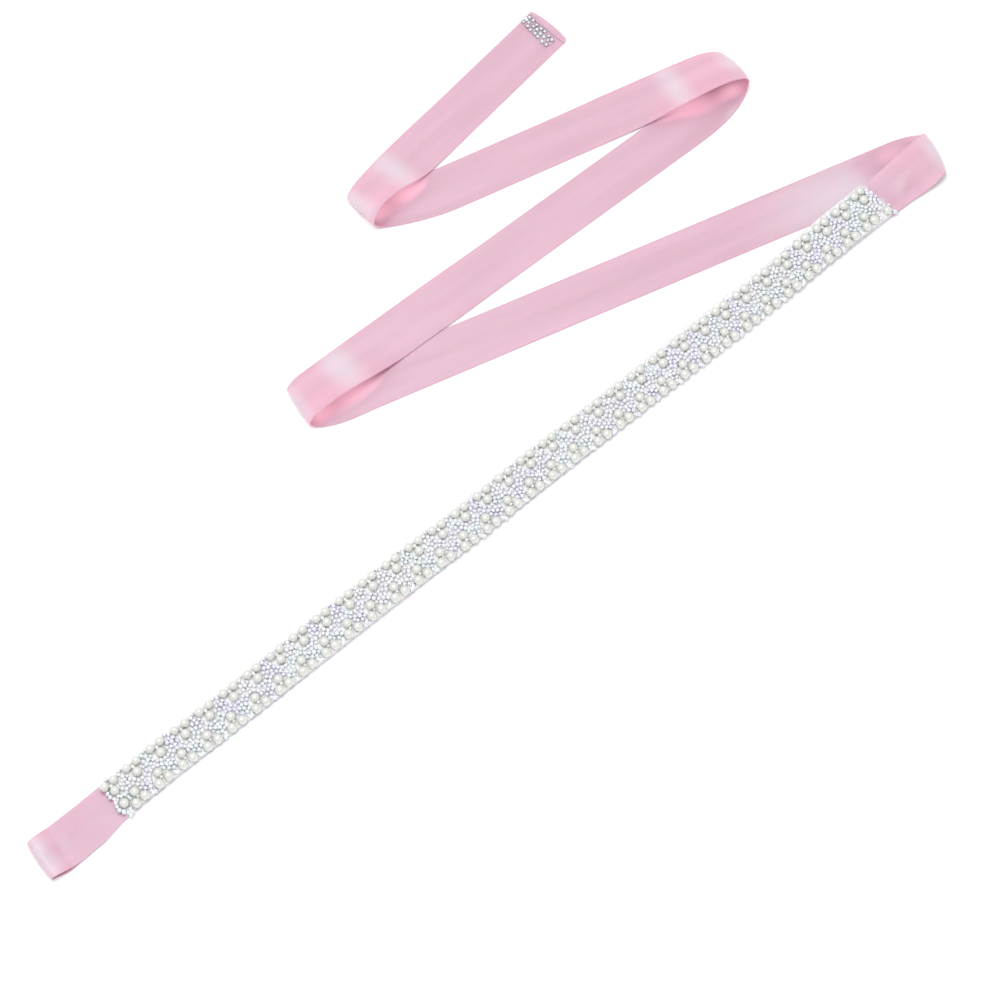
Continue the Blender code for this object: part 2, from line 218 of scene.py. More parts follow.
class RibbonSettings(PropertyGroup):
    """Sizes and colour of the satin ribbon."""

    thickness: FloatProperty(
        name="Satin thickness", description="Thickness of the folded satin", default=0.0005, unit="LENGTH"
    )
    layer_gap: FloatProperty(
        name="Layer gap", description="Gap between two layers of ribbon", default=0.0002, unit="LENGTH"
    )
    strips: IntProperty(name="Strips across", description="Faces across the ribbon", default=14, min=4)
    colour: FloatVectorProperty(
        name="Satin colour",
        description="Pale pink of the satin",
        default=(0.71, 0.422, 0.527),
        subtype="COLOR",
        size=3,
    )


class BeadSettings(PropertyGroup):
    """Sizes and colours of the beads."""

    pearl_diameter: FloatProperty(
        name="Pearl diameter", description="Diameter of a large pearl", default=0.005, unit="LENGTH"
    )
    small_diameter: FloatProperty(
        name="Small bead diameter", description="Diameter of a small bead", default=0.0023, unit="LENGTH"
    )
    seed: IntProperty(name="Seed", description="Start of the beads' random draws", default=7)
    pearl_colour: FloatVectorProperty(
        name="Pearl colour",
        description="Ivory of the large pearls",
        default=(0.73, 0.74, 0.69),
        subtype="COLOR",
        size=3,
    )


class StageSettings(PropertyGroup):
    """The camera over the table, and the table's colour."""

    elevation: FloatProperty(
        name="Camera elevation",
        description="Angle of the view above the table",
        default=math.radians(68.0),
        subtype="ANGLE",
    )
    distance: FloatProperty(
        name="Camera distance", description="From the camera to the table", default=1.459, unit="LENGTH"
    )
    lens: FloatProperty(name="Lens", description="Focal length in millimetres", default=108.43, min=20)
    floor_colour: FloatVectorProperty(
        name="Floor colour", description="Pale table", default=(0.97, 0.97, 0.97), subtype="COLOR", size=3
    )


# Plan of the ribbon


def smooth(x):
    """A soft step from 0 to 1."""
    x = min(1.0, max(0.0, x))
    return x * x * (3.0 - 2.0 * x)


def heading_vector(degrees):
    return np.array([math.cos(math.radians(degrees)), math.sin(math.radians(degrees))])


def run_of(number):
    return dict(zip(RUN_COLUMNS, RUNS[number]))


def fold_of(fold):
    return dict(zip(FOLD_COLUMNS, FOLDS[fold]))


def fold_edge(fold, edge):
    return dict(zip(EDGE_COLUMNS, FOLD_EDGES[fold, edge]))


def read_between(table, columns, name, along):
    """A column's value at a distance along the fifth stretch, easing from row to row."""
    rows = np.array(table).T
    alongs = rows[0]
    values = rows[columns.index(name)]
    span = int(np.clip(np.searchsorted(alongs, along) - 1, 0, len(alongs) - 2))
    share = (along - alongs[span]) / (alongs[span + 1] - alongs[span])
    return values[span] + (values[span + 1] - values[span]) * smooth(share)


def edge_offset(number, edge, along):
    """How far a stretch's far or near edge lies from its centre line."""
    if number < STRIP_RUN:
        return RIBBON_WIDTH / 2
    return read_between(DRAWN_IN, DRAWN_IN_COLUMNS, edge, along)


def point_on_run(number, along, across):
    """The plan point at a distance along a stretch's centre line and across it, towards the far side."""
    run = run_of(number)
    forward = heading_vector(run["heading"])
    far_side = np.array([-forward[1], forward[0]])
    return np.array([run["x"], run["y"]]) + forward * along + far_side * across


def edge_point(number, edge, along):
    side = 1.0 if edge == "far" else -1.0
    return point_on_run(number, along, side * edge_offset(number, edge, along))


def along_of(number, point):
    """The distance along a stretch's centre line at which a plan point lies."""
    run = run_of(number)
    return float((np.array(point) - (run["x"], run["y"])) @ heading_vector(run["heading"]))


def leg_sign(fold):
    """+1 where the stretches leave the fold along their headings, -1 where they leave it against them."""
    return -1.0 if fold in RIGHT_HAND_FOLDS else 1.0


def leg_end(fold, edge, layer):
    """How far along its stretch a leg of the fold joins the straight edge."""
    row = fold_edge(fold, edge)
    return along_of(fold_of(fold)[layer], (row["x"], row["y"])) + leg_sign(fold) * row[layer + "_reach"]


def leg_ends(fold, layer):
    return [leg_end(fold, edge, layer) for edge in EDGES]


def layer_at(fold, number):
    return "top" if fold_of(fold)["top"] == number else "foot"


def leg_plan(fold, edge, layer, x):
    """A leg's plan point on a cubic curve, x = 0 at the crest and x = 1 where it joins the stretch."""
    row = fold_edge(fold, edge)
    number = fold_of(fold)[layer]
    reach = row[layer + "_reach"]
    crest = np.array([row["x"], row["y"]])
    end = edge_point(number, edge, leg_end(fold, edge, layer))
    leave = heading_vector(row[layer + "_heading"]) * reach
    arrive = heading_vector(run_of(number)["heading"]) * leg_sign(fold) * reach
    return (
        (2 * x**3 - 3 * x**2 + 1) * crest
        + (x**3 - 2 * x**2 + x) * leave
        + (3 * x**2 - 2 * x**3) * end
        + (x**3 - x**2) * arrive
    )


def corner_inset(radius, distance):
    """How far a rounded corner draws an edge in, at a distance from the end that it rounds."""
    short = max(0.0, radius - distance)
    return radius - math.sqrt(radius**2 - short**2)


def drawn_together(pair, insets):
    """The far and near points of a section, each moved towards the other."""
    across = (pair[1] - pair[0]) / np.linalg.norm(pair[1] - pair[0])
    return [pair[0] + across * insets[0], pair[1] - across * insets[1]]


def crest_bow(fold):
    """The plan vector by which the middle of the crest stands out beyond the line between its edges."""
    far = np.array(FOLD_EDGES[fold, "far"][:2])
    near = np.array(FOLD_EDGES[fold, "near"][:2])
    row = fold_of(fold)
    outward = np.array([near[1] - far[1], far[0] - near[0]]) / np.linalg.norm(near - far)
    inward = heading_vector(run_of(row["top"])["heading"]) * leg_sign(fold)
    return outward * row["bow"] * (-1.0 if outward @ inward > 0 else 1.0)


# Satin sheet


# Soft ridges of the satin: the stretch, the plan point of the middle, the heading, half
# the length and half the width, and the height. Slow waves make the ridges uneven
CREASE_COLUMNS = ("run", "x", "y", "heading", "along", "across", "height")
CREASES = (
    (1, -20.0, 212.0, 60.0, 18.0, 5.0, 0.4),
    (1, -60.0, 170.0, -40.0, 14.0, 3.5, 0.45),
    (2, -12.0, 178.0, 18.0, 24.0, 5.0, 0.3),
    (2, 58.0, 212.0, 36.0, 18.0, 4.5, 0.45),
    (2, 112.0, 236.0, 112.0, 12.0, 3.0, 0.4),
    (2, 103.0, 232.0, 125.0, 13.0, 3.0, -0.35),
    (3, 62.0, 180.0, 46.0, 26.0, 5.0, 0.3),
    (3, -38.0, 99.0, 30.0, 22.0, 4.5, 0.4),
    (3, -88.0, 62.0, -48.0, 13.0, 3.5, 0.4),
    (4, 18.0, 98.0, 18.0, 32.0, 5.5, 0.3),
    (4, 78.0, 128.0, 33.0, 26.0, 5.0, 0.35),
    (4, 124.0, 148.0, 20.0, 34.0, 6.0, 0.45),
    (4, 170.0, 168.0, 14.0, 22.0, 4.5, 0.35),
    (5, 205.0, 172.0, 62.0, 14.0, 4.0, 0.4),
    (5, -193.0, -164.0, 62.0, 13.0, 4.0, 0.45),
    (5, -203.0, -176.0, 20.0, 11.0, 3.5, -0.3),
    (6, -205.0, -175.0, 70.0, 9.0, 4.0, 0.2),
)
UNEVENNESS = 0.35
UNEVEN_WAVES = (0.31, 0.23)


def spot_share(points, spot):
    """How much a listed spot acts on plan points: 1 in its middle, easing to 0 at its rim."""
    forward = heading_vector(spot["heading"])
    away = points - np.array([spot["x"], spot["y"]])
    along = away @ forward / spot["along"]
    across = away @ np.array([-forward[1], forward[0]]) / spot["across"]
    share = 1 - np.clip(np.hypot(along, across), 0, 1)
    return share * share * (3 - 2 * share)


class SatinPath:
    """The ribbon's sections in order, from the loose end to the end turned under the tail."""

    def __init__(self, thickness, layer_gap, strips):
        self.strips = strips
        self.floor_layer = thickness / 2 + layer_gap / 2
        self.upper_layer = self.floor_layer + thickness + layer_gap
        self.sections = []
        self.runs = []

    def rest_height(self, number, along):
        """Height of a straight stretch's middle: on the table, or settling from the stretch below it."""
        height = self.floor_layer
        for fold in FOLDS:
            row = fold_of(fold)
            if row["top"] != number:
                continue
            distance = leg_sign(fold) * (along - along_of(number, FOLD_EDGES[fold, "near"][:2]))
            settled = smooth((distance - row["overlap"]) / SETTLE)
            height += (self.upper_layer - self.floor_layer) * (1 - settled)
        return height

    def leg_height(self, fold, edge, layer, x):
        """The upper leg arches over and settles on the layer below, the lower one curls under."""
        row = fold_edge(fold, edge)
        distance = x * row[layer + "_reach"]
        if layer == "top":
            share = min(1.0, distance / row["arch"])
            arch = row["lift"] * LIFT_PEAK * math.sqrt(share) * (1 - share) ** 1.5
            return row["z"] + (self.upper_layer - row["z"]) * smooth(x) + arch
        curl = min(1.0, distance / (FOOT_CURLS.get((fold, edge), FOOT_CURL) * row["z"]))
        drop = 1 - math.sqrt(1 - (1 - curl) ** 2)
        return self.floor_layer + (row["z"] - self.floor_layer) * drop

    def leg(self, fold, number):
        """Sections of one leg from the crest outwards: the far point, the near point and the bow between."""
        layer = layer_at(fold, number)
        count = TOP_SECTIONS if layer == "top" else FOOT_SECTIONS
        rows = []
        for step in range(count + 1):
            x = (step / count) ** CROWDING
            pair = []
            insets = []
            for edge in EDGES:
                height = self.leg_height(fold, edge, layer, x)
                pair.append(np.array([*leg_plan(fold, edge, layer, x), height]))
                distance = x * fold_edge(fold, edge)[layer + "_reach"]
                insets.append(corner_inset(CORNER_ROUNDS.get((fold, edge), 0.0), distance))
            bow = np.array([*crest_bow(fold), 0.0]) * (1 - smooth(x))
            rows.append((*drawn_together(pair, insets), bow))
        return rows

    def hem(self):
        """Sections of the ribbon's end, turned over on itself."""
        outward = heading_vector(run_of(END_RUN)["heading"])
        rows = []
        for out, height in HEM_SECTION:
            share = max(0.0, out / HEM_DEPTH)
            pair = []
            insets = []
            for edge in EDGES:
                along = END_ALONG - HEM_DEPTH + out - HEM_PULLS[edge] * share
                pair.append(np.array([*edge_point(END_RUN, edge, along), height]))
                insets.append(corner_inset(HEM_CORNERS[edge], HEM_DEPTH - out))
            bow = np.array([*outward * HEM_BOW * share, 0.0])
            rows.append((*drawn_together(pair, insets), bow))
        return rows

    def flat(self, number, far_along, near_along):
        """A section of a straight stretch through two distances along it, one for each edge."""
        points = [
            np.array([*edge_point(number, edge, along), self.rest_height(number, along)])
            for edge, along in zip(EDGES, (far_along, near_along))
        ]
        return (*points, np.zeros(3))

    def straight(self, number, start, end):
        """Sections of a stretch between two pairs of distances along it, the ends left out."""
        count = max(2, round(abs(end[0] - start[0]) / STRAIGHT_SPACING))
        rows = []
        for step in range(1, count):
            alongs = [first + (last - first) * step / count for first, last in zip(start, end)]
            rows.append(self.flat(number, *alongs))
        return rows

    def add(self, number, rows):
        self.sections += rows
        self.runs += [number] * len(rows)

    def lay(self):
        """Lays the whole ribbon, stretch by stretch."""
        start = [END_ALONG - HEM_DEPTH] * 2
        self.add(END_RUN, self.hem() + [self.flat(END_RUN, *start)])
        for number in range(END_RUN, TAIL_RUN):
            layer = layer_at(number, number)
            self.add(number, self.straight(number, start, leg_ends(number, layer)))
            self.add(number, self.leg(number, number)[::-1])
            self.add(number + 1, self.leg(number, number + 1)[1:])
            start = leg_ends(number, layer_at(number, number + 1))
        further = TURN_UNDER - fold_edge(LAST_FOLD, "far")["foot_reach"]
        self.add(TAIL_RUN, [self.flat(TAIL_RUN, *[along + further for along in start])])

    def points(self):
        """All points, section by section, in millimetres on the plan."""
        rows = []
        for far, near, bow in self.sections:
            for step in range(self.strips + 1):
                share = step / self.strips
                rows.append(far + (near - far) * share + bow * 4 * share * (1 - share))
        rows = np.array(rows)
        numbers = np.repeat(self.runs, self.strips + 1)
        uneven = 1 + UNEVENNESS * np.sin(rows[:, 0] * UNEVEN_WAVES[0] + rows[:, 1] * UNEVEN_WAVES[1])
        for row in CREASES:
            crease = dict(zip(CREASE_COLUMNS, row))
            raised = spot_share(rows[:, :2], crease) * crease["height"] * uneven
            rows[:, 2] += np.where(numbers == crease["run"], raised, 0.0)
        rows[:, 2] = np.maximum(rows[:, 2], self.floor_layer)
        return rows

    def lengths(self):
        """Distance along the middle of the ribbon at each section."""
        middles = [(far + near) / 2 for far, near, _ in self.sections]
        steps = [np.linalg.norm(b - a) for a, b in zip(middles, middles[1:])]
        return np.concatenate([[0.0], np.cumsum(steps)])


# Painted highlights and painted shade of the satin, from the photo: the stretch, the plan point, the heading
# of the spot, how far it reaches along and across that, and its strength: above 0 for a painted pale
# highlight, below 0 for painted shade of deeper pink, with a painted glow where that shade is deepest. No
# glow is painted on the stretch under the strip or on the tail
PAINTED_LIGHT_COLUMNS = ("run", "x", "y", "heading", "along", "across", "strength")
PAINTED_LIGHT_SPOTS = (
    (1, -53.6, 177.6, 47.7, 12.0, 36.0, 0.42),
    (1, -72.0, 158.0, 47.7, 8.0, 26.0, 0.42),
    (2, -51.0, 165.0, 40.0, 26.0, 12.0, -1.2),
    (2, -62.0, 154.0, 45.0, 12.0, 9.0, -0.9),
    (2, -42.0, 171.5, 36.0, 18.0, 8.0, -0.48),
    (2, 89.9, 224.4, 26.3, 10.0, 40.0, 0.42),
    (2, 117.5, 239.6, 26.3, 10.0, 18.0, 0.42),
    (3, 104.0, 218.0, 30.0, 30.0, 11.0, -1.0),
    (3, 88.0, 214.5, 30.0, 28.0, 8.0, -1.0),
    (3, 120.5, 227.0, 30.0, 14.0, 9.0, -1.0),
    (3, 119.0, 213.0, 60.0, 10.0, 6.0, 0.25),
    (3, -78.7, 68.9, 38.8, 14.0, 36.0, 0.42),
    (3, -101.0, 49.0, 38.8, 8.0, 26.0, 0.42),
    (4, -76.0, 54.0, 36.0, 30.0, 12.0, -1.2),
    (4, -60.0, 64.6, 42.0, 22.0, 9.0, -0.42),
    (4, -90.0, 44.0, 40.0, 13.0, 9.0, -0.9),
    (4, 172.0, 165.0, 24.9, 62.0, 32.0, 0.34),
    (4, 198.0, 188.0, 24.9, 27.0, 15.0, -0.85),
    (5, 221.0, 187.0, 40.3, 9.0, 30.0, 0.45),
    (5, -210.0, -177.0, 40.3, 15.0, 40.0, 0.5),
    (5, -194.0, -166.0, 40.3, 30.0, 80.0, -0.75),
)

# Beside and under the strip the ribbon is painted pale with the highlight colour: how much, and how far from
# the strip's middle
PAINTED_STRIP_PALENESS = 0.8
STRIP_REACH = 243.0


def lustre_of(path):
    """How much painted highlight, above 0, or painted shade, below 0, each point of the sheet gets."""
    points = path.points().reshape(len(path.sections), -1, 3)[:, :, :2]
    painted_light = np.zeros(points.shape[:2])
    numbers = np.array(path.runs)
    for row in PAINTED_LIGHT_SPOTS:
        spot = dict(zip(PAINTED_LIGHT_COLUMNS, row))
        share = spot_share(points, spot)
        painted_light += np.where(numbers[:, None] == spot["run"], share * spot["strength"], 0.0)
    run = run_of(STRIP_RUN)
    along = (points - np.array([run["x"], run["y"]])) @ heading_vector(run["heading"])
    under_strip = (numbers[:, None] == STRIP_RUN) & (np.abs(along) < STRIP_REACH)
    return np.where(under_strip, PAINTED_STRIP_PALENESS, painted_light)


def to_scene(points):
    """Millimetres on the plan to metres about the sash's middle."""
    return (np.asarray(points, float) - np.array([*LAYOUT_CENTRE, 0.0])) * MM


def grid_faces(rows, across):
    faces = []
    for row in range(rows - 1):
        for column in range(across - 1):
            corner = row * across + column
            faces.append((corner, corner + 1, corner + across + 1, corner + across))
    return faces


def lay_uv(mesh, coordinates):
    """The cloth's UV map, from one pair of metres for each vertex."""
    layer = mesh.uv_layers.new(name="cloth")
    for loop in mesh.loops:
        layer.data[loop.index].uv = coordinates[loop.vertex_index]


# Working by operators


def deselect_all():
    if bpy.context.mode != "OBJECT":
        bpy.ops.object.mode_set(mode="OBJECT")
    bpy.ops.object.select_all(action="DESELECT")


def make_active(obj):
    deselect_all()
    obj.select_set(True)
    bpy.context.view_layer.objects.active = obj


def named(name):
    """Names the object that an operator has just added."""
    obj = bpy.context.object
    obj.name = name
    obj.data.name = name
    return obj


def place_in_mesh(obj):
    """Puts the object's place, turn and scale into its mesh."""
    make_active(obj)
    bpy.ops.object.transform_apply(location=True, rotation=True, scale=True)


def thicken(obj, thickness):
    """Gives a sheet its thickness, half of it on each side."""
    wall = obj.modifiers.new("thickness", "SOLIDIFY")
    wall.thickness = thickness
    wall.offset = 0.0
    make_active(obj)
    bpy.ops.object.modifier_apply(modifier=wall.name)


def select_parts(obj, kind, test):
    """In edit mode, selects the faces or vertices that pass the test."""
    bpy.ops.object.mode_set(mode="EDIT")
    bpy.ops.mesh.select_mode(type=kind)
    bpy.ops.mesh.select_all(action="DESELECT")
    work = bmesh.from_edit_mesh(obj.data)
    for part in work.faces if kind == "FACE" else work.verts:
        part.select_set(test(part))
    bmesh.update_edit_mesh(obj.data)


def select_whole():
    """In edit mode, selects all of the active object."""
    bpy.ops.object.mode_set(mode="EDIT")
    bpy.ops.mesh.select_all(action="SELECT")


def leave_edit_mode():
    bpy.ops.object.mode_set(mode="OBJECT")


def faces_end(face):
    """True for a face across the thread, at either end of a bead or a stitch."""
    return abs(face.normal.x) > 0.9


def faces_up(face):
    return face.normal.z > 0.9


def inset_faces(obj, test, rim, shift):
    """Draws in the faces that pass the test, and moves them along z."""
    select_parts(obj, "FACE", test)
    bpy.ops.mesh.inset(thickness=rim)
    bpy.ops.transform.translate(value=(0, 0, shift))
    leave_edit_mode()


def object_from(name, points, faces):
    """A smooth object from points in metres and faces, in the scene."""
    mesh = bpy.data.meshes.new(name)
    mesh.from_pydata([tuple(p) for p in points], [], faces)
    mesh.shade_smooth()
    obj = bpy.data.objects.new(name, mesh)
    bpy.context.scene.collection.objects.link(obj)
    return obj


def store(obj, name, values):
    """Keeps a number for each vertex, for a material to read."""
    layer = obj.data.attributes.new(name, "FLOAT", "POINT")
    layer.data.foreach_set("value", np.asarray(values).astype(np.float32).ravel())


def scatter(name, template, places, tints=None):
    """One joined mesh with a copy of the template at each place, and a tint for each copy."""
    source = template.data
    base = np.array([vertex.co for vertex in source.vertices])
    faces = [tuple(polygon.vertices) for polygon in source.polygons]
    points = []
    all_faces = []
    for index, place in enumerate(places):
        matrix = np.array(place)
        points.append(base @ matrix[:3, :3].T + matrix[:3, 3])
        first = index * len(base)
        all_faces += [tuple(v + first for v in face) for face in faces]
    obj = object_from(name, np.concatenate(points), all_faces)
    rise = base[:, 2] / np.abs(base[:, 2]).max()
    store(obj, "bead_height", np.tile(rise * 0.5 + 0.5, len(places)))
    store(obj, "bead_tint", np.repeat(tints or [0.0] * len(places), len(base)))
    bpy.data.objects.remove(template)
    return obj


# Materials


def set_sockets(node, values):
    for label, value in values.items():
        node.inputs[label].default_value = value


def new_node(tree, kind, **settings):
    node = tree.nodes.new("ShaderNode" + kind)
    for name, value in settings.items():
        setattr(node, name, value)
    return node


def new_group(name, numbers, output):
    """A shader node group that takes a vector and numbers and puts out one value; with its two ends."""
    group = bpy.data.node_groups.new(name, "ShaderNodeTree")
    group.interface.new_socket(name="Vector", in_out="INPUT", socket_type="NodeSocketVector")
    for label, value in numbers.items():
        socket = group.interface.new_socket(name=label, in_out="INPUT", socket_type="NodeSocketFloat")
        socket.default_value = value
    group.interface.new_socket(name=output, in_out="OUTPUT", socket_type="NodeSocketFloat")
    return group, group.nodes.new("NodeGroupInput"), group.nodes.new("NodeGroupOutput")


def place_group(tree, build, vector, numbers=None):
    """Places a node group in a material with its own numbers; it is built on its first use."""
    node = new_node(tree, "Group", node_tree=bpy.data.node_groups.get(build.__name__) or build())
    tree.links.new(vector, node.inputs["Vector"])
    set_sockets(node, numbers or {})
    return node.outputs[0]


def math_node(tree, operation, first, second=None):
    node = new_node(tree, "Math", operation=operation)
    for socket, value in zip(node.inputs, (first, second)):
        if isinstance(value, bpy.types.NodeSocket):
            tree.links.new(value, socket)
        elif value is not None:
            socket.default_value = value
    return node.outputs[0]


def mix_colour(tree, factor, first, second, blend="MIX"):
    node = new_node(tree, "Mix", data_type="RGBA", blend_type=blend)
    for index, value in zip((0, 6, 7), (factor, first, second)):
        if isinstance(value, bpy.types.NodeSocket):
            tree.links.new(value, node.inputs[index])
        else:
            node.inputs[index].default_value = value if index == 0 else (*value, 1.0)
    return node.outputs[2]


def attribute(tree, name):
    return new_node(tree, "Attribute", attribute_name=name).outputs["Fac"]


def stretched_noise(tree, vector, scale, detail=3.0):
    """Noise on a vector that is first scaled differently along its axes."""
    mapping = new_node(tree, "Mapping")
    set_sockets(mapping, {"Scale": scale})
    tree.links.new(vector, mapping.inputs["Vector"])
    noise = new_node(tree, "TexNoise")
    set_sockets(noise, {"Scale": 1.0, "Detail": detail})
    tree.links.new(mapping.outputs["Vector"], noise.inputs["Vector"])
    return noise.outputs["Fac"]


def ranged(tree, noise, low, high):
    """Spreads the middle of a noise, where most of it lies, from low to high."""
    node = new_node(tree, "MapRange")
    set_sockets(node, {"From Min": 0.3, "From Max": 0.7, "To Min": low, "To Max": high})
    tree.links.new(noise, node.inputs["Value"])
    return node.outputs["Result"]


def fine_weave():
    """Fine threads: raised floats along the cloth, crossed by a slight rib."""
    numbers = {"Threads Across": 4000.0, "Threads Along": 2500.0}
    group, entry, leave = new_group("fine_weave", numbers, "Height")
    split = new_node(group, "SeparateXYZ")
    group.links.new(entry.outputs["Vector"], split.inputs[0])
    across = math_node(group, "MULTIPLY", split.outputs["X"], entry.outputs["Threads Across"])
    along = math_node(group, "MULTIPLY", split.outputs["Y"], entry.outputs["Threads Along"])
    rib = math_node(group, "SINE", math_node(group, "MULTIPLY", across, math.tau))
    step = math_node(group, "ADD", math_node(group, "MULTIPLY", along, math.tau), across)
    floats = math_node(group, "SINE", step)
    slub = stretched_noise(group, entry.outputs["Vector"], (2600.0, 60.0, 1.0))
    height = math_node(group, "ADD", math_node(group, "MULTIPLY", rib, 0.5), slub)
    height = math_node(group, "ADD", height, math_node(group, "MULTIPLY", floats, 0.2))
    group.links.new(height, leave.inputs["Height"])
    return group


def ribbon_edge():
    """A mask of the narrow woven edges of a ribbon, from its distance across."""
    group, entry, leave = new_group("ribbon_edge", {"Width": RIBBON_WIDTH * MM, "Edge": 0.0009}, "Mask")
    split = new_node(group, "SeparateXYZ")
    group.links.new(entry.outputs["Vector"], split.inputs[0])
    other = math_node(group, "SUBTRACT", entry.outputs["Width"], split.outputs["X"])
    nearest = math_node(group, "MINIMUM", split.outputs["X"], other)
    share = math_node(group, "DIVIDE", nearest, entry.outputs["Edge"])
    clear = math_node(group, "MINIMUM", share, 1.0)
    group.links.new(math_node(group, "SUBTRACT", 1.0, clear), leave.inputs["Mask"])
    return group


def new_material(name):
    material = bpy.data.materials.new(name)
    material.use_nodes = True
    tree = material.node_tree
    return material, tree, tree.nodes["Principled BSDF"]


def bump(tree, height, shader, strength, distance):
    node = new_node(tree, "Bump")
    set_sockets(node, {"Strength": strength, "Distance": distance})
    tree.links.new(height, node.inputs["Height"])
    tree.links.new(node.outputs["Normal"], shader.inputs["Normal"])


def cloth_coordinates(tree):
    return new_node(tree, "UVMap", uv_map="cloth").outputs["UV"]


def object_noise(tree, fineness, detail=3.0):
    """Even noise on the object's own coordinates."""
    coordinates = new_node(tree, "TexCoord").outputs["Object"]
    return stretched_noise(tree, coordinates, (fineness, fineness, fineness), detail)


def shaded(colour, shares):
    return [c * share for c, share in zip(colour, shares)]


SATIN_DEEP = (0.93, 0.93, 0.93)
SATIN_PALE = (1.06, 1.06, 1.06)
# Painted shade: deeper pink in the shaded mouths of the folds
PAINTED_FOLD_SHADE = (0.93, 0.82, 0.87)
SELVEDGE_SHADE = (0.93, 0.88, 0.92)
# Painted highlight: the whitish colour of satin catching the light
PAINTED_HIGHLIGHT = (0.76, 0.80, 0.82)
# Painted glow in the mouths of the folds, and how deep the painted shade must be before it starts
PAINTED_GLOW = (0.52, 0.33, 0.38)
PAINTED_GLOW_FROM_SHADE = 0.45


def satin_material(colour):
    """Pale pink satin with streaks in its tone and gloss, woven edges, painted highlights, and painted shade
    with a painted glow in the mouths of the folds.
    """
    material, tree, shader = new_material("sash_satin")
    cloth = cloth_coordinates(tree)
    streaks = stretched_noise(tree, cloth, (120.0, 9.0, 1.0))
    tones = shaded(colour, SATIN_DEEP), shaded(colour, SATIN_PALE)
    body = mix_colour(tree, ranged(tree, streaks, 0.0, 1.0), *tones)
    painted_light = attribute(tree, "painted_light")
    # Below 0 the attribute paints shade: deeper pink in the mouths of the folds
    depth = math_node(tree, "MAXIMUM", math_node(tree, "MULTIPLY", painted_light, -1.0), 0.0)
    # Above 0 the attribute paints a pale highlight
    painted_highlight = math_node(tree, "MAXIMUM", painted_light, 0.0)
    body = mix_colour(tree, depth, body, shaded(colour, PAINTED_FOLD_SHADE))
    body = mix_colour(tree, painted_highlight, body, PAINTED_HIGHLIGHT)
    edge = place_group(tree, ribbon_edge, cloth)
    rim = math_node(tree, "MULTIPLY", edge, math_node(tree, "SUBTRACT", 1.0, painted_highlight))
    body = mix_colour(tree, rim, body, shaded(colour, SELVEDGE_SHADE))
    tree.links.new(body, shader.inputs["Base Color"])
    # Painted glow: the emission lights up the most deeply painted shade, only where the glow may be painted
    through = math_node(tree, "MAXIMUM", math_node(tree, "SUBTRACT", depth, PAINTED_GLOW_FROM_SHADE), 0.0)
    through = math_node(tree, "MULTIPLY", through, attribute(tree, "painted_glow_mask"))
    glow = mix_colour(tree, through, (0.0, 0.0, 0.0), PAINTED_GLOW)
    tree.links.new(glow, shader.inputs["Emission Color"])
    tree.links.new(ranged(tree, streaks, 0.36, 0.44), shader.inputs["Roughness"])
    set_sockets(shader, {
        "Emission Strength": 1.0,
        "Specular IOR Level": 0.6,
        "Specular Tint": (0.4, 1.0, 0.92, 1.0),
        "Subsurface Weight": 0.8,
        "Subsurface Radius": (0.8, 0.35, 0.45),
        "Subsurface Scale": 0.0016,
    })
    bump(tree, place_group(tree, fine_weave, cloth), shader, 0.12, 0.00003)
    return material


def backing_material():
    """White felt behind the beads, a little uneven."""
    material, tree, shader = new_material("white_backing")
    cloth = cloth_coordinates(tree)
    fuzz = stretched_noise(tree, cloth, (900.0, 900.0, 1.0))
    body = mix_colour(tree, ranged(tree, fuzz, 0.0, 1.0), (0.88, 0.87, 0.87), (0.92, 0.91, 0.91))
    tree.links.new(body, shader.inputs["Base Color"])
    set_sockets(shader, {"Roughness": 0.85})
    weave = place_group(tree, fine_weave, cloth, {"Threads Across": 1400.0, "Threads Along": 1400.0})
    bump(tree, weave, shader, 0.3, 0.00008)
    return material


def bead_colour(tree, low, high):
    """A bead's colour painted by its height, standing in for light and shade: from low where it meets the
    cloth to high on top.
    """
    rise = new_node(tree, "MapRange", interpolation_type="SMOOTHSTEP")
    set_sockets(rise, {"From Min": 0.35, "From Max": 0.95})
    tree.links.new(attribute(tree, "bead_height"), rise.inputs["Value"])
    return mix_colour(tree, rise.outputs["Result"], low, high)


# Painted shade of the pearls low down, where they meet the felt
PEARL_PAINTED_SHADE = (0.62, 0.64, 0.60)
PEARL_WARM = (1.04, 1.04, 1.04)


def pearl_material(colour):
    """Ivory pearl coating with painted shade, greyer low down, under a clear gloss."""
    material, tree, shader = new_material("sash_pearl")
    shade = bead_colour(tree, PEARL_PAINTED_SHADE, tuple(colour))
    warm = mix_colour(tree, attribute(tree, "bead_tint"), shade, shaded(colour, PEARL_WARM))
    tree.links.new(warm, shader.inputs["Base Color"])
    tree.links.new(ranged(tree, object_noise(tree, 420.0), 0.18, 0.24), shader.inputs["Roughness"])
    set_sockets(shader, {
        "Metallic": 0.35,
        "Specular IOR Level": 1.0,
        "Coat Weight": 1.0,
        "Coat Roughness": 0.1,
        "Coat IOR": 2.2,
    })
    return material


# Where each tint of the small beads starts, with its colour: lilac, clear and mint whites
BEAD_TINTS = ((0.0, (0.90, 0.89, 0.97)), (0.34, (0.94, 0.94, 0.96)), (0.67, (0.90, 0.95, 0.96)))


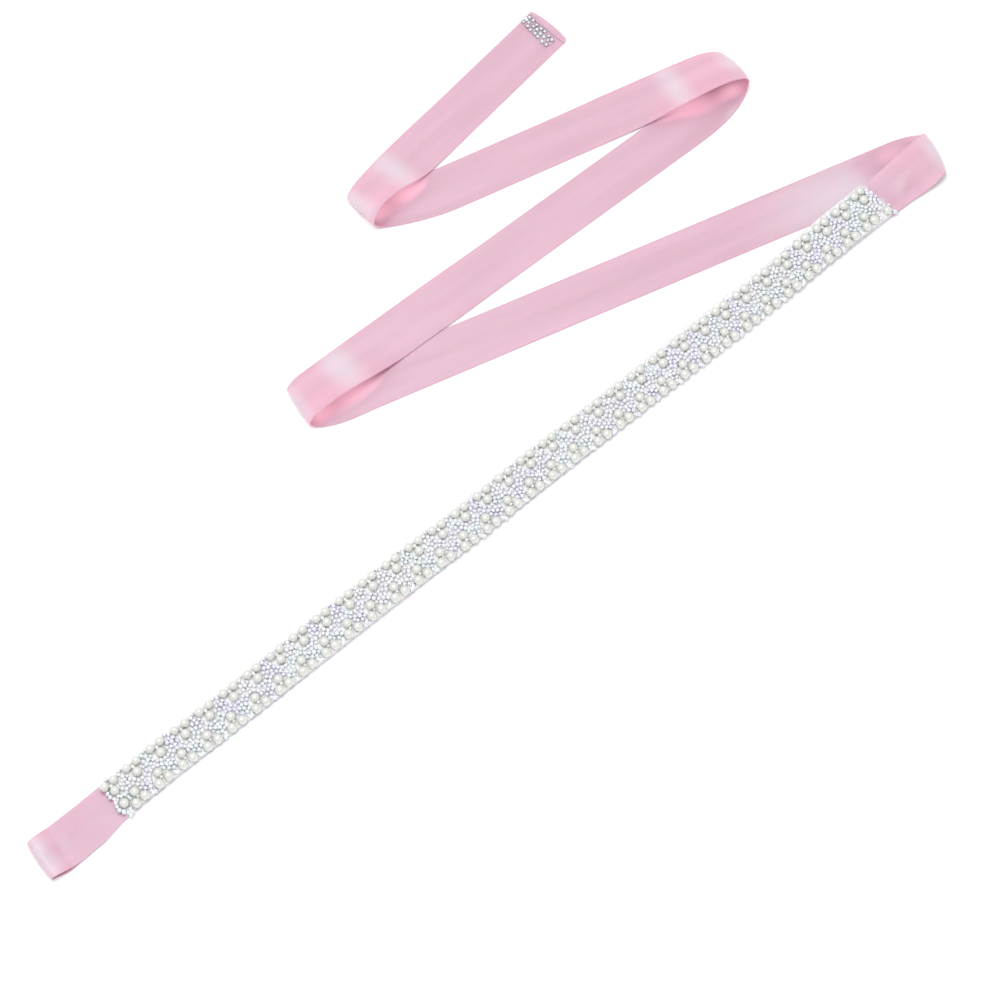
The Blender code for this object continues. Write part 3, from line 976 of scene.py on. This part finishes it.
def small_bead_material():
    """Small pearlised glass beads, each in its own tint, painted lighter low down as fill light."""
    material, tree, shader = new_material("small_beads")
    ramp = new_node(tree, "ValToRGB")
    ramp.color_ramp.interpolation = "CONSTANT"
    while len(ramp.color_ramp.elements) < len(BEAD_TINTS):
        ramp.color_ramp.elements.new(1.0)
    for element, (position, tint) in zip(ramp.color_ramp.elements, BEAD_TINTS):
        element.position = position
        element.color = (*tint, 1.0)
    tree.links.new(attribute(tree, "bead_tint"), ramp.inputs["Fac"])
    # Painted fill light: lighter low down where the beads meet the felt, darker on top
    body = bead_colour(tree, (0.95, 0.95, 0.96), (0.84, 0.84, 0.86))
    body = mix_colour(tree, 1.0, body, ramp.outputs["Color"], "MULTIPLY")
    tree.links.new(body, shader.inputs["Base Color"])
    set_sockets(shader, {
        "Roughness": 0.25,
        "Metallic": 0.2,
        "Coat Weight": 0.8,
        "Coat Roughness": 0.1,
        "Subsurface Weight": 0.3,
        "Subsurface Radius": (1.0, 1.0, 1.0),
        "Subsurface Scale": 0.0006,
    })
    return material


def crystal_material():
    """Silver-lined crystal: bright facets over grey ones."""
    material, tree, shader = new_material("sash_crystal")
    grain = ranged(tree, object_noise(tree, 700.0, 1.0), 0.0, 1.0)
    body = mix_colour(tree, grain, (0.80, 0.81, 0.84), (0.98, 0.98, 1.0))
    tree.links.new(body, shader.inputs["Base Color"])
    set_sockets(shader, {"Metallic": 0.25, "Roughness": 0.14, "Coat Weight": 0.7})
    return material


def cup_material():
    """Dull silver of the cups."""
    material, tree, shader = new_material("silver_cup")
    body = mix_colour(tree, object_noise(tree, 900.0), (0.30, 0.30, 0.33), (0.62, 0.62, 0.65))
    tree.links.new(body, shader.inputs["Base Color"])
    set_sockets(shader, {"Metallic": 0.8, "Roughness": 0.3})
    return material


THREAD_DEEP = (0.85, 0.85, 0.85)


def thread_material(name, colour):
    """Twisted sewing thread."""
    material, tree, shader = new_material(name)
    body = mix_colour(tree, object_noise(tree, 3000.0, 1.0), shaded(colour, THREAD_DEEP), colour)
    tree.links.new(body, shader.inputs["Base Color"])
    set_sockets(shader, {"Roughness": 0.6})
    return material


# Pieces


def dress(obj, material):
    """Gives a finished piece its material and its slot, and lets it ride on the sash."""
    obj.data.materials.clear()
    obj.data.materials.append(material)
    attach(obj, BODY)
    return obj


def satin_path(ribbon):
    path = SatinPath(ribbon.thickness / MM, ribbon.layer_gap / MM, ribbon.strips)
    path.lay()
    return path


CREASE_ANGLE = math.radians(50)
RIBBON_NODES = [f"ribbon_run_{number}" for number in range(END_RUN, TAIL_RUN)]
RIBBON_NODES += ["ribbon_tail", "tail_turned_under", "end_hem"]


def make_ribbon(context):
    """One continuous satin sheet through all stretches and folds."""
    ribbon = context.scene.sash_ribbon
    path = satin_path(ribbon)
    across = path.strips + 1
    obj = object_from("satin_ribbon", to_scene(path.points()), grid_faces(len(path.sections), across))
    lengths = path.lengths()
    widths = np.arange(across) / path.strips * RIBBON_WIDTH
    uv = [(widths[i % across] * MM, lengths[i // across] * MM) for i in range(len(obj.data.vertices))]
    lay_uv(obj.data, uv)
    # Painted highlight and painted shade for each point of the sheet
    store(obj, "painted_light", lustre_of(path))
    # Where the painted glow may go: every stretch before the strip
    store(obj, "painted_glow_mask", np.repeat([number < STRIP_RUN for number in path.runs], across))
    thicken(obj, ribbon.thickness)
    bpy.ops.object.shade_smooth_by_angle(angle=CREASE_ANGLE)
    dress(obj, satin_material(ribbon.colour))
    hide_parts(*RIBBON_NODES)
    return obj


def strip_height(path, along):
    """Height of the backing's underside on the fifth stretch."""
    return path.rest_height(STRIP_RUN, along) + (path.upper_layer - path.floor_layer) / 2


def strip_point(path, along, across, height):
    """A point of the straight strip laid on the fifth stretch, in metres."""
    skew = smooth((along - STRIP_LENGTH / 2 + SKEWED_LENGTH) / SKEWED_LENGTH)
    x, y = point_on_run(STRIP_RUN, along - RIGHT_END_SKEW * across * skew, across)
    return Vector(to_scene((x, y, height + strip_height(path, along))))


BACKING_THICKNESS = 1.4
BACKING_ROWS = 160
BACKING_STRIPS = 8


def make_backing(context):
    """The felt strip that the beads are sewn on."""
    path = satin_path(context.scene.sash_ribbon)
    across = BACKING_STRIPS + 1
    points = []
    uv = []
    for row in range(BACKING_ROWS + 1):
        along = (row / BACKING_ROWS - 0.5) * STRIP_LENGTH
        far, near = (read_between(BACKING, BACKING_COLUMNS, edge, along) for edge in EDGES)
        for column in range(across):
            offset = far - (far + near) * column / BACKING_STRIPS
            points.append(strip_point(path, along, offset, BACKING_THICKNESS / 2))
            uv.append(((offset + near) * MM, along * MM))
    obj = object_from("strip_backing", points, grid_faces(BACKING_ROWS + 1, across))
    lay_uv(obj.data, uv)
    thicken(obj, BACKING_THICKNESS * MM)
    dress(obj, backing_material())
    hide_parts("beaded_strip")
    return obj


def sewn_at(along, across):
    """Where a bead of the even pattern is really sewn."""
    shift, centre = (read_between(PATTERN, PATTERN_COLUMNS, name, along) for name in ("shift", "centre"))
    return along + shift, across + centre


def trefoil_starts(beyond=0):
    """(distance along, side) of each trefoil, alternately at the far and near edge."""
    first = -STRIP_LENGTH / 2 + END_MARGIN
    repeat = (STRIP_LENGTH - 2 * END_MARGIN - PEARL_SPACING) / (TREFOILS - 1)
    steps = range(-beyond, 2 * TREFOILS - 1 + beyond)
    return [(first + repeat * i / 2, 1.0 if i % 2 == 0 else -1.0) for i in steps]


def pearl_places():
    """(along, across) of every large pearl."""
    places = []
    for start, side in trefoil_starts():
        places.append((start, side * PEARL_EDGE_ROW))
        places.append((start + PEARL_SPACING, side * PEARL_EDGE_ROW))
        places.append((start + PEARL_SPACING / 2, side * PEARL_INNER_ROW))
    first = -STRIP_LENGTH / 2 + END_MARGIN
    places.append((first + LEFT_CORNER_PEARL[0], LEFT_CORNER_PEARL[1]))
    places.append((-first + RIGHT_CORNER_PEARL[0], RIGHT_CORNER_PEARL[1]))
    return places


def turned(axis, angle):
    return Matrix.Rotation(angle, 4, axis)


def either_way(draw, most):
    """A random amount, as far as most either way."""
    return draw.uniform(-most, most)


def tipped(draw, most):
    """A random tip about x and about y."""
    about_x, about_y = (turned(axis, either_way(draw, most)) for axis in "XY")
    return about_x @ about_y


# Large pearls: fineness, depth of the drilled hole in diameters, height above the backing's underside,
# how far they lean to the near side, and the range of their sizes and tints
PEARL_SEGMENTS = 12
PEARL_RINGS = 8
PEARL_HOLE = 0.12
PEARL_POLE = 0.499
PEARL_RISE = 2.6
PEARL_LEAN = 0.4
PEARL_SIZES = (0.97, 1.02)
PEARL_TINTS = (0.0, 0.35)


def pearl_template(diameter):
    """A drilled pearl: a sphere with its poles, on the thread's axis, pushed in."""
    deselect_all()
    bpy.ops.mesh.primitive_uv_sphere_add(
        segments=PEARL_SEGMENTS, ring_count=PEARL_RINGS, radius=diameter / 2, rotation=(0, math.pi / 2, 0)
    )
    pearl = named("pearl_template")
    place_in_mesh(pearl)
    for side in (-1, 1):
        select_parts(pearl, "VERT", lambda vertex: vertex.co.x * side > diameter * PEARL_POLE)
        bpy.ops.transform.translate(value=(-side * PEARL_HOLE * diameter, 0, 0))
        leave_edit_mode()
    return pearl


def make_pearls(context):
    """All large pearls, each turned its own way on its thread."""
    beads = context.scene.sash_beads
    path = satin_path(context.scene.sash_ribbon)
    draw = random.Random(beads.seed)
    places = []
    tints = []
    for evenly in pearl_places():
        along, across = sewn_at(*evenly)
        centre = strip_point(path, along, across - PEARL_LEAN, PEARL_RISE)
        size = draw.uniform(*PEARL_SIZES)
        turn = turned("Z", draw.uniform(0, math.tau))
        places.append(Matrix.Translation(centre) @ turn @ Matrix.Scale(size, 4))
        tints.append(draw.uniform(*PEARL_TINTS))
    obj = scatter("large_pearls", pearl_template(beads.pearl_diameter), places, tints)
    return dress(obj, pearl_material(beads.pearl_colour))


# Small beads of half a repeat, about the middle of a trefoil: how far along, how far across towards the
# trefoil's own edge, how high above the backing, and whether they take the flower's shade or another
FILL_COLUMNS = ("along", "across", "rise", "own_shade")
FILL = (
    (0.0, -0.3, 1.2, False),
    (1.9, -0.2, 1.0, False),
    (3.5, 1.0, 1.1, True),
    (3.5, -1.0, 1.1, False),
    (5.1, 0.2, 1.0, False),
    (3.4, 3.2, 0.9, True),
    (1.2, -8.1, 0.9, True),
    (-1.2, -8.1, 0.9, True),
)

# A flower of six petals about an eye, and the row of beads that closes each end of the strip
FLOWER_CENTRE = -4.4
FLOWER_RADIUS = 2.0
FLOWER_RISE = 1.15
FLOWER_EYE_RISE = 2.0
PETALS = 6
FLOWER_SHADES = (0.1, 0.45, 0.8)
END_ROW_BEADS = 9
END_ROW_WIDTH = 18.4
END_ROW_MARGIN = 1.7
END_ROW_UNEVENNESS = 0.2

# How unevenly the small beads are sewn, and how far each is raised, tipped, sized and tinted at random
SPOT_UNEVENNESS = 0.35
BEAD_LIFT = 0.8
BEAD_LIFTS = (-0.2, 0.3)
BEAD_TIP = 0.5
BEAD_SIZES = (0.86, 1.12)
TINT_UNEVENNESS = 0.08
LAST_TINT = 0.99

# Easing apart: rounds, how strongly two beads push each other and how strongly home draws them, and how
# close they may come, in parts of their two radii for a pearl and in radii for two small beads
EASE_STEPS = 24
EASE_PUSH = 0.4
EASE_HOLD = 0.08
PEARL_CLOSENESS = 0.93
BEAD_CLOSENESS = 1.9
EYE_CLEARANCE = 0.5
SAME_PLACE = 1e-9

# A small bead's length, rounding, rim and hollow, in parts of its diameter
BEAD_LENGTH = 0.8
BEAD_ROUNDING = 0.17
BEAD_RIM = 0.08
BEAD_HOLLOW = 0.7


def small_bead_template(diameter):
    """A squat glass bead with rounded ends and a drilled hole, its thread along x."""
    deselect_all()
    bpy.ops.mesh.primitive_cylinder_add(
        vertices=8, radius=diameter / 2, depth=diameter * BEAD_LENGTH, rotation=(0, math.pi / 2, 0)
    )
    bead = named("small_bead_template")
    place_in_mesh(bead)
    select_parts(bead, "FACE", faces_end)
    bpy.ops.mesh.bevel(offset=diameter * BEAD_ROUNDING, segments=2)
    select_parts(bead, "FACE", lambda face: abs(face.normal.x) > 0.99)
    bpy.ops.mesh.inset(thickness=diameter * BEAD_RIM)
    bpy.ops.transform.resize(value=(BEAD_HOLLOW, 1, 1))
    leave_edit_mode()
    return bead


def small_bead_spots(draw, radius):
    """Evenly drawn spots of all small beads: along, across, rise, tint and the turn of the thread."""
    spots = []
    for start, side in trefoil_starts(beyond=1):
        middle = start + PEARL_SPACING / 2
        flower = draw.choice(FLOWER_SHADES)
        other = draw.choice(FLOWER_SHADES)
        rows = [(0.0, FLOWER_CENTRE, FLOWER_EYE_RISE, flower, draw.uniform(0, math.tau))]
        for petal in range(PETALS):
            angle = math.tau * (petal + 0.5) / PETALS
            along = FLOWER_RADIUS * math.cos(angle)
            across = FLOWER_CENTRE + FLOWER_RADIUS * math.sin(angle)
            rows.append((along, across, FLOWER_RISE, flower, angle + math.pi / 2))
        for row in FILL:
            bead = dict(zip(FILL_COLUMNS, row))
            tint = flower if bead["own_shade"] else other
            rows.append((bead["along"], bead["across"], bead["rise"], tint, draw.uniform(0, math.tau)))
        for along, across, rise, tint, turn in rows:
            place = sewn_at(middle + along, across * side)
            spread = [value + either_way(draw, SPOT_UNEVENNESS) for value in place]
            if abs(spread[0]) < STRIP_LENGTH / 2 - radius:
                spots.append((*spread, rise, tint, turn * side))
    for end in (-1, 1):
        for step in range(END_ROW_BEADS):
            across = (step / (END_ROW_BEADS - 1) - 0.5) * END_ROW_WIDTH
            along = end * (STRIP_LENGTH / 2 - END_ROW_MARGIN) + either_way(draw, END_ROW_UNEVENNESS)
            spots.append((along, across, FLOWER_RISE, draw.choice(FLOWER_SHADES), draw.uniform(0, math.tau)))
    return np.array(spots)


def ease_apart(spots, pearls, pearl_radius, radius):
    """Moves the small beads off the pearls and off one another, while each is drawn to its own spot."""
    home = spots[:, :2].copy()
    place = home.copy()
    eyes = spots[:, 2] > FLOWER_RISE + EYE_CLEARANCE
    pearl_reach = (pearl_radius + radius) * PEARL_CLOSENESS
    for _ in range(EASE_STEPS):
        for others, reach in ((pearls, pearl_reach), (place, radius * BEAD_CLOSENESS)):
            apart = place[:, None, :] - others[None, :, :]
            distance = np.linalg.norm(apart, axis=2)
            near = (distance < reach) & (distance > SAME_PLACE)
            if others is place:
                near &= ~(eyes[:, None] | eyes[None, :])
            push = np.where(near, (reach - distance) / np.maximum(distance, SAME_PLACE), 0.0)
            place = place + EASE_PUSH * (apart * push[:, :, None]).sum(axis=1)
        place += EASE_HOLD * (home - place)
    return place


def make_small_beads(context):
    """The flowers and the fill of small glass beads between the trefoils."""
    beads = context.scene.sash_beads
    path = satin_path(context.scene.sash_ribbon)
    draw = random.Random(beads.seed + 1)
    radius = beads.small_diameter / MM / 2
    spots = small_bead_spots(draw, radius)
    pearls = np.array([sewn_at(*evenly) for evenly in pearl_places()])
    eased = ease_apart(spots, pearls, beads.pearl_diameter / MM / 2, radius)
    places = []
    tints = []
    for (along, across), (_, _, rise, tint, turn) in zip(eased, spots):
        height = rise + BEAD_LIFT + draw.uniform(*BEAD_LIFTS)
        place = Matrix.Translation(strip_point(path, along, across - PEARL_LEAN, height))
        place @= turned("Z", turn) @ turned("Y", either_way(draw, BEAD_TIP))
        places.append(place @ Matrix.Scale(draw.uniform(*BEAD_SIZES), 4))
        tints.append(min(LAST_TINT, max(0.0, tint + either_way(draw, TINT_UNEVENNESS))))
    obj = scatter("small_beads", small_bead_template(beads.small_diameter), places, tints)
    return dress(obj, small_bead_material())


# Edge crystals: how far across they lie from the strip's middle towards the trefoil's edge, how unevenly
# along it, how high above the backing and how tipped, and their radius and flatness
CRYSTALS_ACROSS = (-9.5, 6.2)
CRYSTAL_UNEVENNESS = 0.2
CRYSTAL_RISES = (0.5, 0.9)
CRYSTAL_TIP = 0.6
CRYSTAL_RADIUS = 0.46
CRYSTAL_FLATNESS = 0.85
CRYSTAL_MARGIN = 1.0


def make_edge_crystals(context):
    """Faceted crystals in the gaps between the pearls of the two edges."""
    beads = context.scene.sash_beads
    path = satin_path(context.scene.sash_ribbon)
    draw = random.Random(beads.seed + 2)
    deselect_all()
    radius = beads.small_diameter * CRYSTAL_RADIUS
    bpy.ops.mesh.primitive_uv_sphere_add(segments=8, ring_count=5, radius=radius)
    template = named("crystal_template")
    select_whole()
    bpy.ops.transform.resize(value=(1.0, 1.0, CRYSTAL_FLATNESS))
    leave_edit_mode()
    places = []
    for start, side in trefoil_starts():
        for towards_edge in CRYSTALS_ACROSS:
            uneven = either_way(draw, CRYSTAL_UNEVENNESS)
            along, across = sewn_at(start + PEARL_SPACING / 2 + uneven, towards_edge * side)
            if abs(along) > STRIP_LENGTH / 2 - CRYSTAL_MARGIN:
                continue
            centre = strip_point(path, along, across, BACKING_THICKNESS + draw.uniform(*CRYSTAL_RISES))
            places.append(Matrix.Translation(centre) @ tipped(draw, CRYSTAL_TIP))
    obj = scatter("edge_crystals", template, places)
    obj.data.shade_flat()
    return dress(obj, crystal_material())


def loose_end_matrix(along, across, height, turn=0.0):
    """Places a piece on the first stretch: its x along the stretch, its y towards the far side."""
    x, y = point_on_run(END_RUN, along, across)
    place = Matrix.Translation(Vector(to_scene((x, y, height))))
    return place @ turned("Z", math.radians(run_of(END_RUN)["heading"] + turn))


# Stitches: the thread's radius, its rim and how deep its ends dip in parts of that, and for each seam the
# stitch's length, the spacing and the distance from the edge, with the height for the hem. The strip's
# stitches slant, stop short of its ends, and lie a part of their radius above the felt
STITCH_RADIUS = 0.13
STITCH_RIM = 0.4
STITCH_DIP = 1.2
HEM_STITCH = (1.15, 1.7, 0.7, 1.33)
HEM_MARGINS = 2.0
EDGE_STITCH = (1.4, 3.2, 0.55)
EDGE_MARGINS = 6.0
EDGE_SLANT = 0.5
EDGE_RISE = 0.5


def stitch_template(length):
    """One sewn stitch: a short thread that dips into the cloth at both ends, along x."""
    deselect_all()
    bpy.ops.mesh.primitive_cylinder_add(
        vertices=6, radius=STITCH_RADIUS * MM, depth=length * MM, rotation=(0, math.pi / 2, 0)
    )
    stitch = named("stitch_template")
    place_in_mesh(stitch)
    inset_faces(stitch, faces_end, STITCH_RADIUS * STITCH_RIM * MM, -STITCH_RADIUS * STITCH_DIP * MM)
    return stitch


def evenly_spaced(length, spacing):
    """Distances from the middle of a seam to each of its stitches."""
    count = int(length / spacing)
    return [(step - count / 2) * spacing for step in range(count + 1)]


def make_stitches(context):
    """The stitches along the hem, and those that hold the felt strip's two long edges."""
    path = satin_path(context.scene.sash_ribbon)
    length, spacing, inset, height = HEM_STITCH
    places = []
    for across in evenly_spaced(RIBBON_WIDTH - HEM_MARGINS, spacing):
        place = loose_end_matrix(END_ALONG - HEM_DEPTH + inset, across, height)
        places.append(place @ turned("Z", math.pi / 2))
    hem = scatter("hem_stitches", stitch_template(length), places)
    dress(hem, thread_material("pink_thread", (0.72, 0.38, 0.48)))
    length, spacing, inset = EDGE_STITCH
    heading = math.radians(run_of(STRIP_RUN)["heading"])
    places = []
    for along in evenly_spaced(STRIP_LENGTH - EDGE_MARGINS, spacing):
        for edge, side in zip(EDGES, (1, -1)):
            across = side * (read_between(BACKING, BACKING_COLUMNS, edge, along) - inset)
            centre = strip_point(path, along, across, BACKING_THICKNESS + STITCH_RADIUS * EDGE_RISE)
            places.append(Matrix.Translation(centre) @ turned("Z", heading + side * EDGE_SLANT))
    edges = scatter("edge_stitches", stitch_template(length), places)
    return dress(edges, thread_material("white_thread", (0.86, 0.85, 0.84)))


# The band of stones: its thickness, rounding and height, then the rows of cups, how uneven, tipped and
# varied in size they are, and the height of a cup's middle
BAND_THICKNESS = 0.4
BAND_ROUNDING = 0.12
BAND_HEIGHT = 0.9
STONE_ROWS = 3
STONES_IN_ROW = 7
STONE_ROW_SPACING = 2.15
ROW_STAGGER = 0.25
STONE_UNEVENNESS = 0.35
STONE_TIP = 0.2
STONE_SIZES = (0.85, 1.15)
STONE_SEED = 3
CUP_HEIGHT = 1.3
CUP_RADIUS = 1.15
CUP_DEPTH = 0.7
CUP_RIM = 0.18
CUP_HOLLOW = 0.3
STONE_RADII = (0.86, 0.48)
STONE_DEPTH = 0.5
STONE_RIM = 0.08
STONE_CROWN = 0.06
STONE_LIFT = 0.2


def make_trim():
    """The narrow band under the small stones, just inside the hem."""
    deselect_all()
    bpy.ops.mesh.primitive_cube_add(size=1.0)
    band = named("trim_band")
    band.scale = (TRIM_DEPTH * MM, TRIM_LENGTH * MM, BAND_THICKNESS * MM)
    place_in_mesh(band)
    select_whole()
    bpy.ops.mesh.bevel(offset=BAND_ROUNDING * MM, segments=2)
    leave_edit_mode()
    lay_uv(band.data, [(vertex.co.y + RIBBON_WIDTH * MM / 2, vertex.co.x) for vertex in band.data.vertices])
    band.matrix_world = loose_end_matrix(TRIM_ALONG, TRIM_ACROSS, BAND_HEIGHT, TRIM_SLANT)
    place_in_mesh(band)
    dress(band, bpy.data.materials["sash_satin"])
    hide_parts("end_trim")
    return band


def stone_places():
    """Where each cup sits: three loose rows, no two cups alike in place, tilt or size."""
    draw = random.Random(STONE_SEED)
    places = []
    for row in range(STONE_ROWS):
        for column in range(STONES_IN_ROW):
            share = (column + 0.5 + ROW_STAGGER * (row % 2)) / STONES_IN_ROW
            across = share * TRIM_LENGTH - TRIM_LENGTH / 2 + either_way(draw, STONE_UNEVENNESS)
            along = (row - 1) * STONE_ROW_SPACING + either_way(draw, STONE_UNEVENNESS)
            place = loose_end_matrix(TRIM_ALONG, TRIM_ACROSS, CUP_HEIGHT, TRIM_SLANT)
            tip = tipped(draw, STONE_TIP)
            size = Matrix.Scale(draw.uniform(*STONE_SIZES), 4)
            shift = Matrix.Translation((along * MM, across * MM, 0.0))
            places.append(place @ shift @ tip @ size)
    return places


def make_cups():
    """Silver cups that hold the small stones."""
    deselect_all()
    bpy.ops.mesh.primitive_cylinder_add(vertices=12, radius=CUP_RADIUS * MM, depth=CUP_DEPTH * MM)
    cup = named("cup_template")
    inset_faces(cup, faces_up, CUP_RIM * MM, -CUP_HOLLOW * MM)
    obj = scatter("stone_cups", cup, stone_places())
    obj.data.shade_flat()
    return dress(obj, cup_material())


def make_stones():
    """Cut stones in their cups: a flat table with sloping facets."""
    deselect_all()
    wide, narrow = (radius * MM for radius in STONE_RADII)
    bpy.ops.mesh.primitive_cone_add(vertices=8, radius1=wide, radius2=narrow, depth=STONE_DEPTH * MM)
    stone = named("stone_template")
    inset_faces(stone, faces_up, STONE_RIM * MM, STONE_CROWN * MM)
    places = [place @ Matrix.Translation((0, 0, STONE_LIFT * MM)) for place in stone_places()]
    obj = scatter("cut_stones", stone, places)
    obj.data.shade_flat()
    return dress(obj, bpy.data.materials["sash_crystal"])


# Stage

TABLE_SIZE = 6.0
TABLE_CUTS = 3
WORLD_STRENGTH = 0.86
PANEL_PLACE = (-0.28, 0.12, 1.5)
PANEL_SIZE = (0.9, 0.8)
PANEL_WATTS = 11.0
SENSOR_WIDTH = 36.0
CLIP_START = 0.05


def make_panel():
    """One soft panel of light above the table, turned to its middle."""
    data = bpy.data.lights.new("top_panel", "AREA")
    data.shape = "RECTANGLE"
    data.size, data.size_y = PANEL_SIZE
    data.energy = PANEL_WATTS
    lamp = bpy.data.objects.new("top_panel", data)
    bpy.context.scene.collection.objects.link(lamp)
    lamp.location = PANEL_PLACE
    lamp.rotation_mode = "QUATERNION"
    lamp.rotation_quaternion = (-Vector(PANEL_PLACE)).to_track_quat("-Z", "Y")


def make_table(colour):
    """The pale table that the sash lies on."""
    deselect_all()
    bpy.ops.mesh.primitive_plane_add(size=TABLE_SIZE)
    table = named("table")
    select_whole()
    bpy.ops.mesh.subdivide(number_cuts=TABLE_CUTS)
    leave_edit_mode()
    material, _, shader = new_material("pale_table")
    set_sockets(shader, {"Base Color": (*colour, 1.0), "Roughness": 0.9, "Specular IOR Level": 0.1})
    table.data.materials.append(material)


def make_world():
    """Even white light from all round."""
    world = bpy.data.worlds.new("studio")
    bpy.context.scene.world = world
    world.use_nodes = True
    background = world.node_tree.nodes["Background"]
    set_sockets(background, {"Color": (1, 1, 1, 1), "Strength": WORLD_STRENGTH})


def make_camera(stage):
    """The camera over the table, aimed at the origin of the plan."""
    target = Vector((-LAYOUT_CENTRE[0] * MM, -LAYOUT_CENTRE[1] * MM, 0.0))
    data = bpy.data.cameras.new("camera")
    data.lens = stage.lens
    data.sensor_width = SENSOR_WIDTH
    data.clip_start = CLIP_START
    camera = bpy.data.objects.new("camera", data)
    bpy.context.scene.collection.objects.link(camera)
    back = Vector((0.0, -math.cos(stage.elevation), math.sin(stage.elevation)))
    camera.location = target + back * stage.distance
    camera.rotation_euler = (math.pi / 2 - stage.elevation, 0.0, 0.0)
    bpy.context.scene.camera = camera


def make_stage(context):
    """Pale table, even light all round, one soft panel above, and the camera."""
    stage = context.scene.sash_stage
    make_table(stage.floor_colour)
    make_world()
    make_panel()
    make_camera(stage)
    context.scene.view_settings.view_transform = "Standard"


# Operators


class SASH_OT_ribbon(Operator):
    """Lays the satin ribbon through its folds"""

    bl_idname = "sash.ribbon"
    bl_label = "Satin Ribbon"

    def execute(self, context):
        make_ribbon(context)
        return {"FINISHED"}


class SASH_OT_loose_end(Operator):
    """Sets the small stones at the loose end and sews the hem and the strip's edges"""

    bl_idname = "sash.loose_end"
    bl_label = "Loose End"

    def execute(self, context):
        make_trim()
        make_cups()
        make_stones()
        make_stitches(context)
        return {"FINISHED"}


class SASH_OT_backing(Operator):
    """Lays the felt strip that carries the beads"""

    bl_idname = "sash.backing"
    bl_label = "Strip Backing"

    def execute(self, context):
        make_backing(context)
        return {"FINISHED"}


class SASH_OT_pearls(Operator):
    """Sews on the large pearls in trefoils"""

    bl_idname = "sash.pearls"
    bl_label = "Large Pearls"

    def execute(self, context):
        make_pearls(context)
        return {"FINISHED"}


class SASH_OT_small_beads(Operator):
    """Fills between the trefoils with small beads and crystals"""

    bl_idname = "sash.small_beads"
    bl_label = "Small Beads"

    def execute(self, context):
        make_small_beads(context)
        make_edge_crystals(context)
        return {"FINISHED"}


class SASH_OT_stage(Operator):
    """Sets the table, the light and the camera"""

    bl_idname = "sash.stage"
    bl_label = "Stage"

    def execute(self, context):
        make_stage(context)
        return {"FINISHED"}


class SASH_PT_panel(Panel):
    """Lists the settings and steps of the sash"""

    bl_label = "Bridal Sash"
    bl_space_type = "VIEW_3D"
    bl_region_type = "UI"
    bl_category = "Sash"

    def draw(self, context):
        for settings in (context.scene.sash_ribbon, context.scene.sash_beads, context.scene.sash_stage):
            box = self.layout.box()
            for name in settings.__annotations__:
                box.prop(settings, name)
        for step in STEPS:
            self.layout.operator(step.bl_idname)


SETTINGS = {"sash_ribbon": RibbonSettings, "sash_beads": BeadSettings, "sash_stage": StageSettings}
STEPS = (
    SASH_OT_ribbon,
    SASH_OT_backing,
    SASH_OT_pearls,
    SASH_OT_small_beads,
    SASH_OT_loose_end,
    SASH_OT_stage,
)


def register():
    for settings in SETTINGS.values():
        bpy.utils.register_class(settings)
    for name, settings in SETTINGS.items():
        setattr(bpy.types.Scene, name, PointerProperty(type=settings))
    for step in STEPS:
        bpy.utils.register_class(step)
    bpy.utils.register_class(SASH_PT_panel)


def unregister():
    bpy.utils.unregister_class(SASH_PT_panel)
    for step in reversed(STEPS):
        bpy.utils.unregister_class(step)
    for name, settings in SETTINGS.items():
        delattr(bpy.types.Scene, name)
        bpy.utils.unregister_class(settings)


def main():
    """Builds the sash and its stage."""
    register()
    bpy.ops.sash.ribbon()
    bpy.ops.sash.backing()
    bpy.ops.sash.pearls()
    bpy.ops.sash.small_beads()
    bpy.ops.sash.loose_end()
    bpy.ops.sash.stage()


if __name__ == "__main__":
    main()
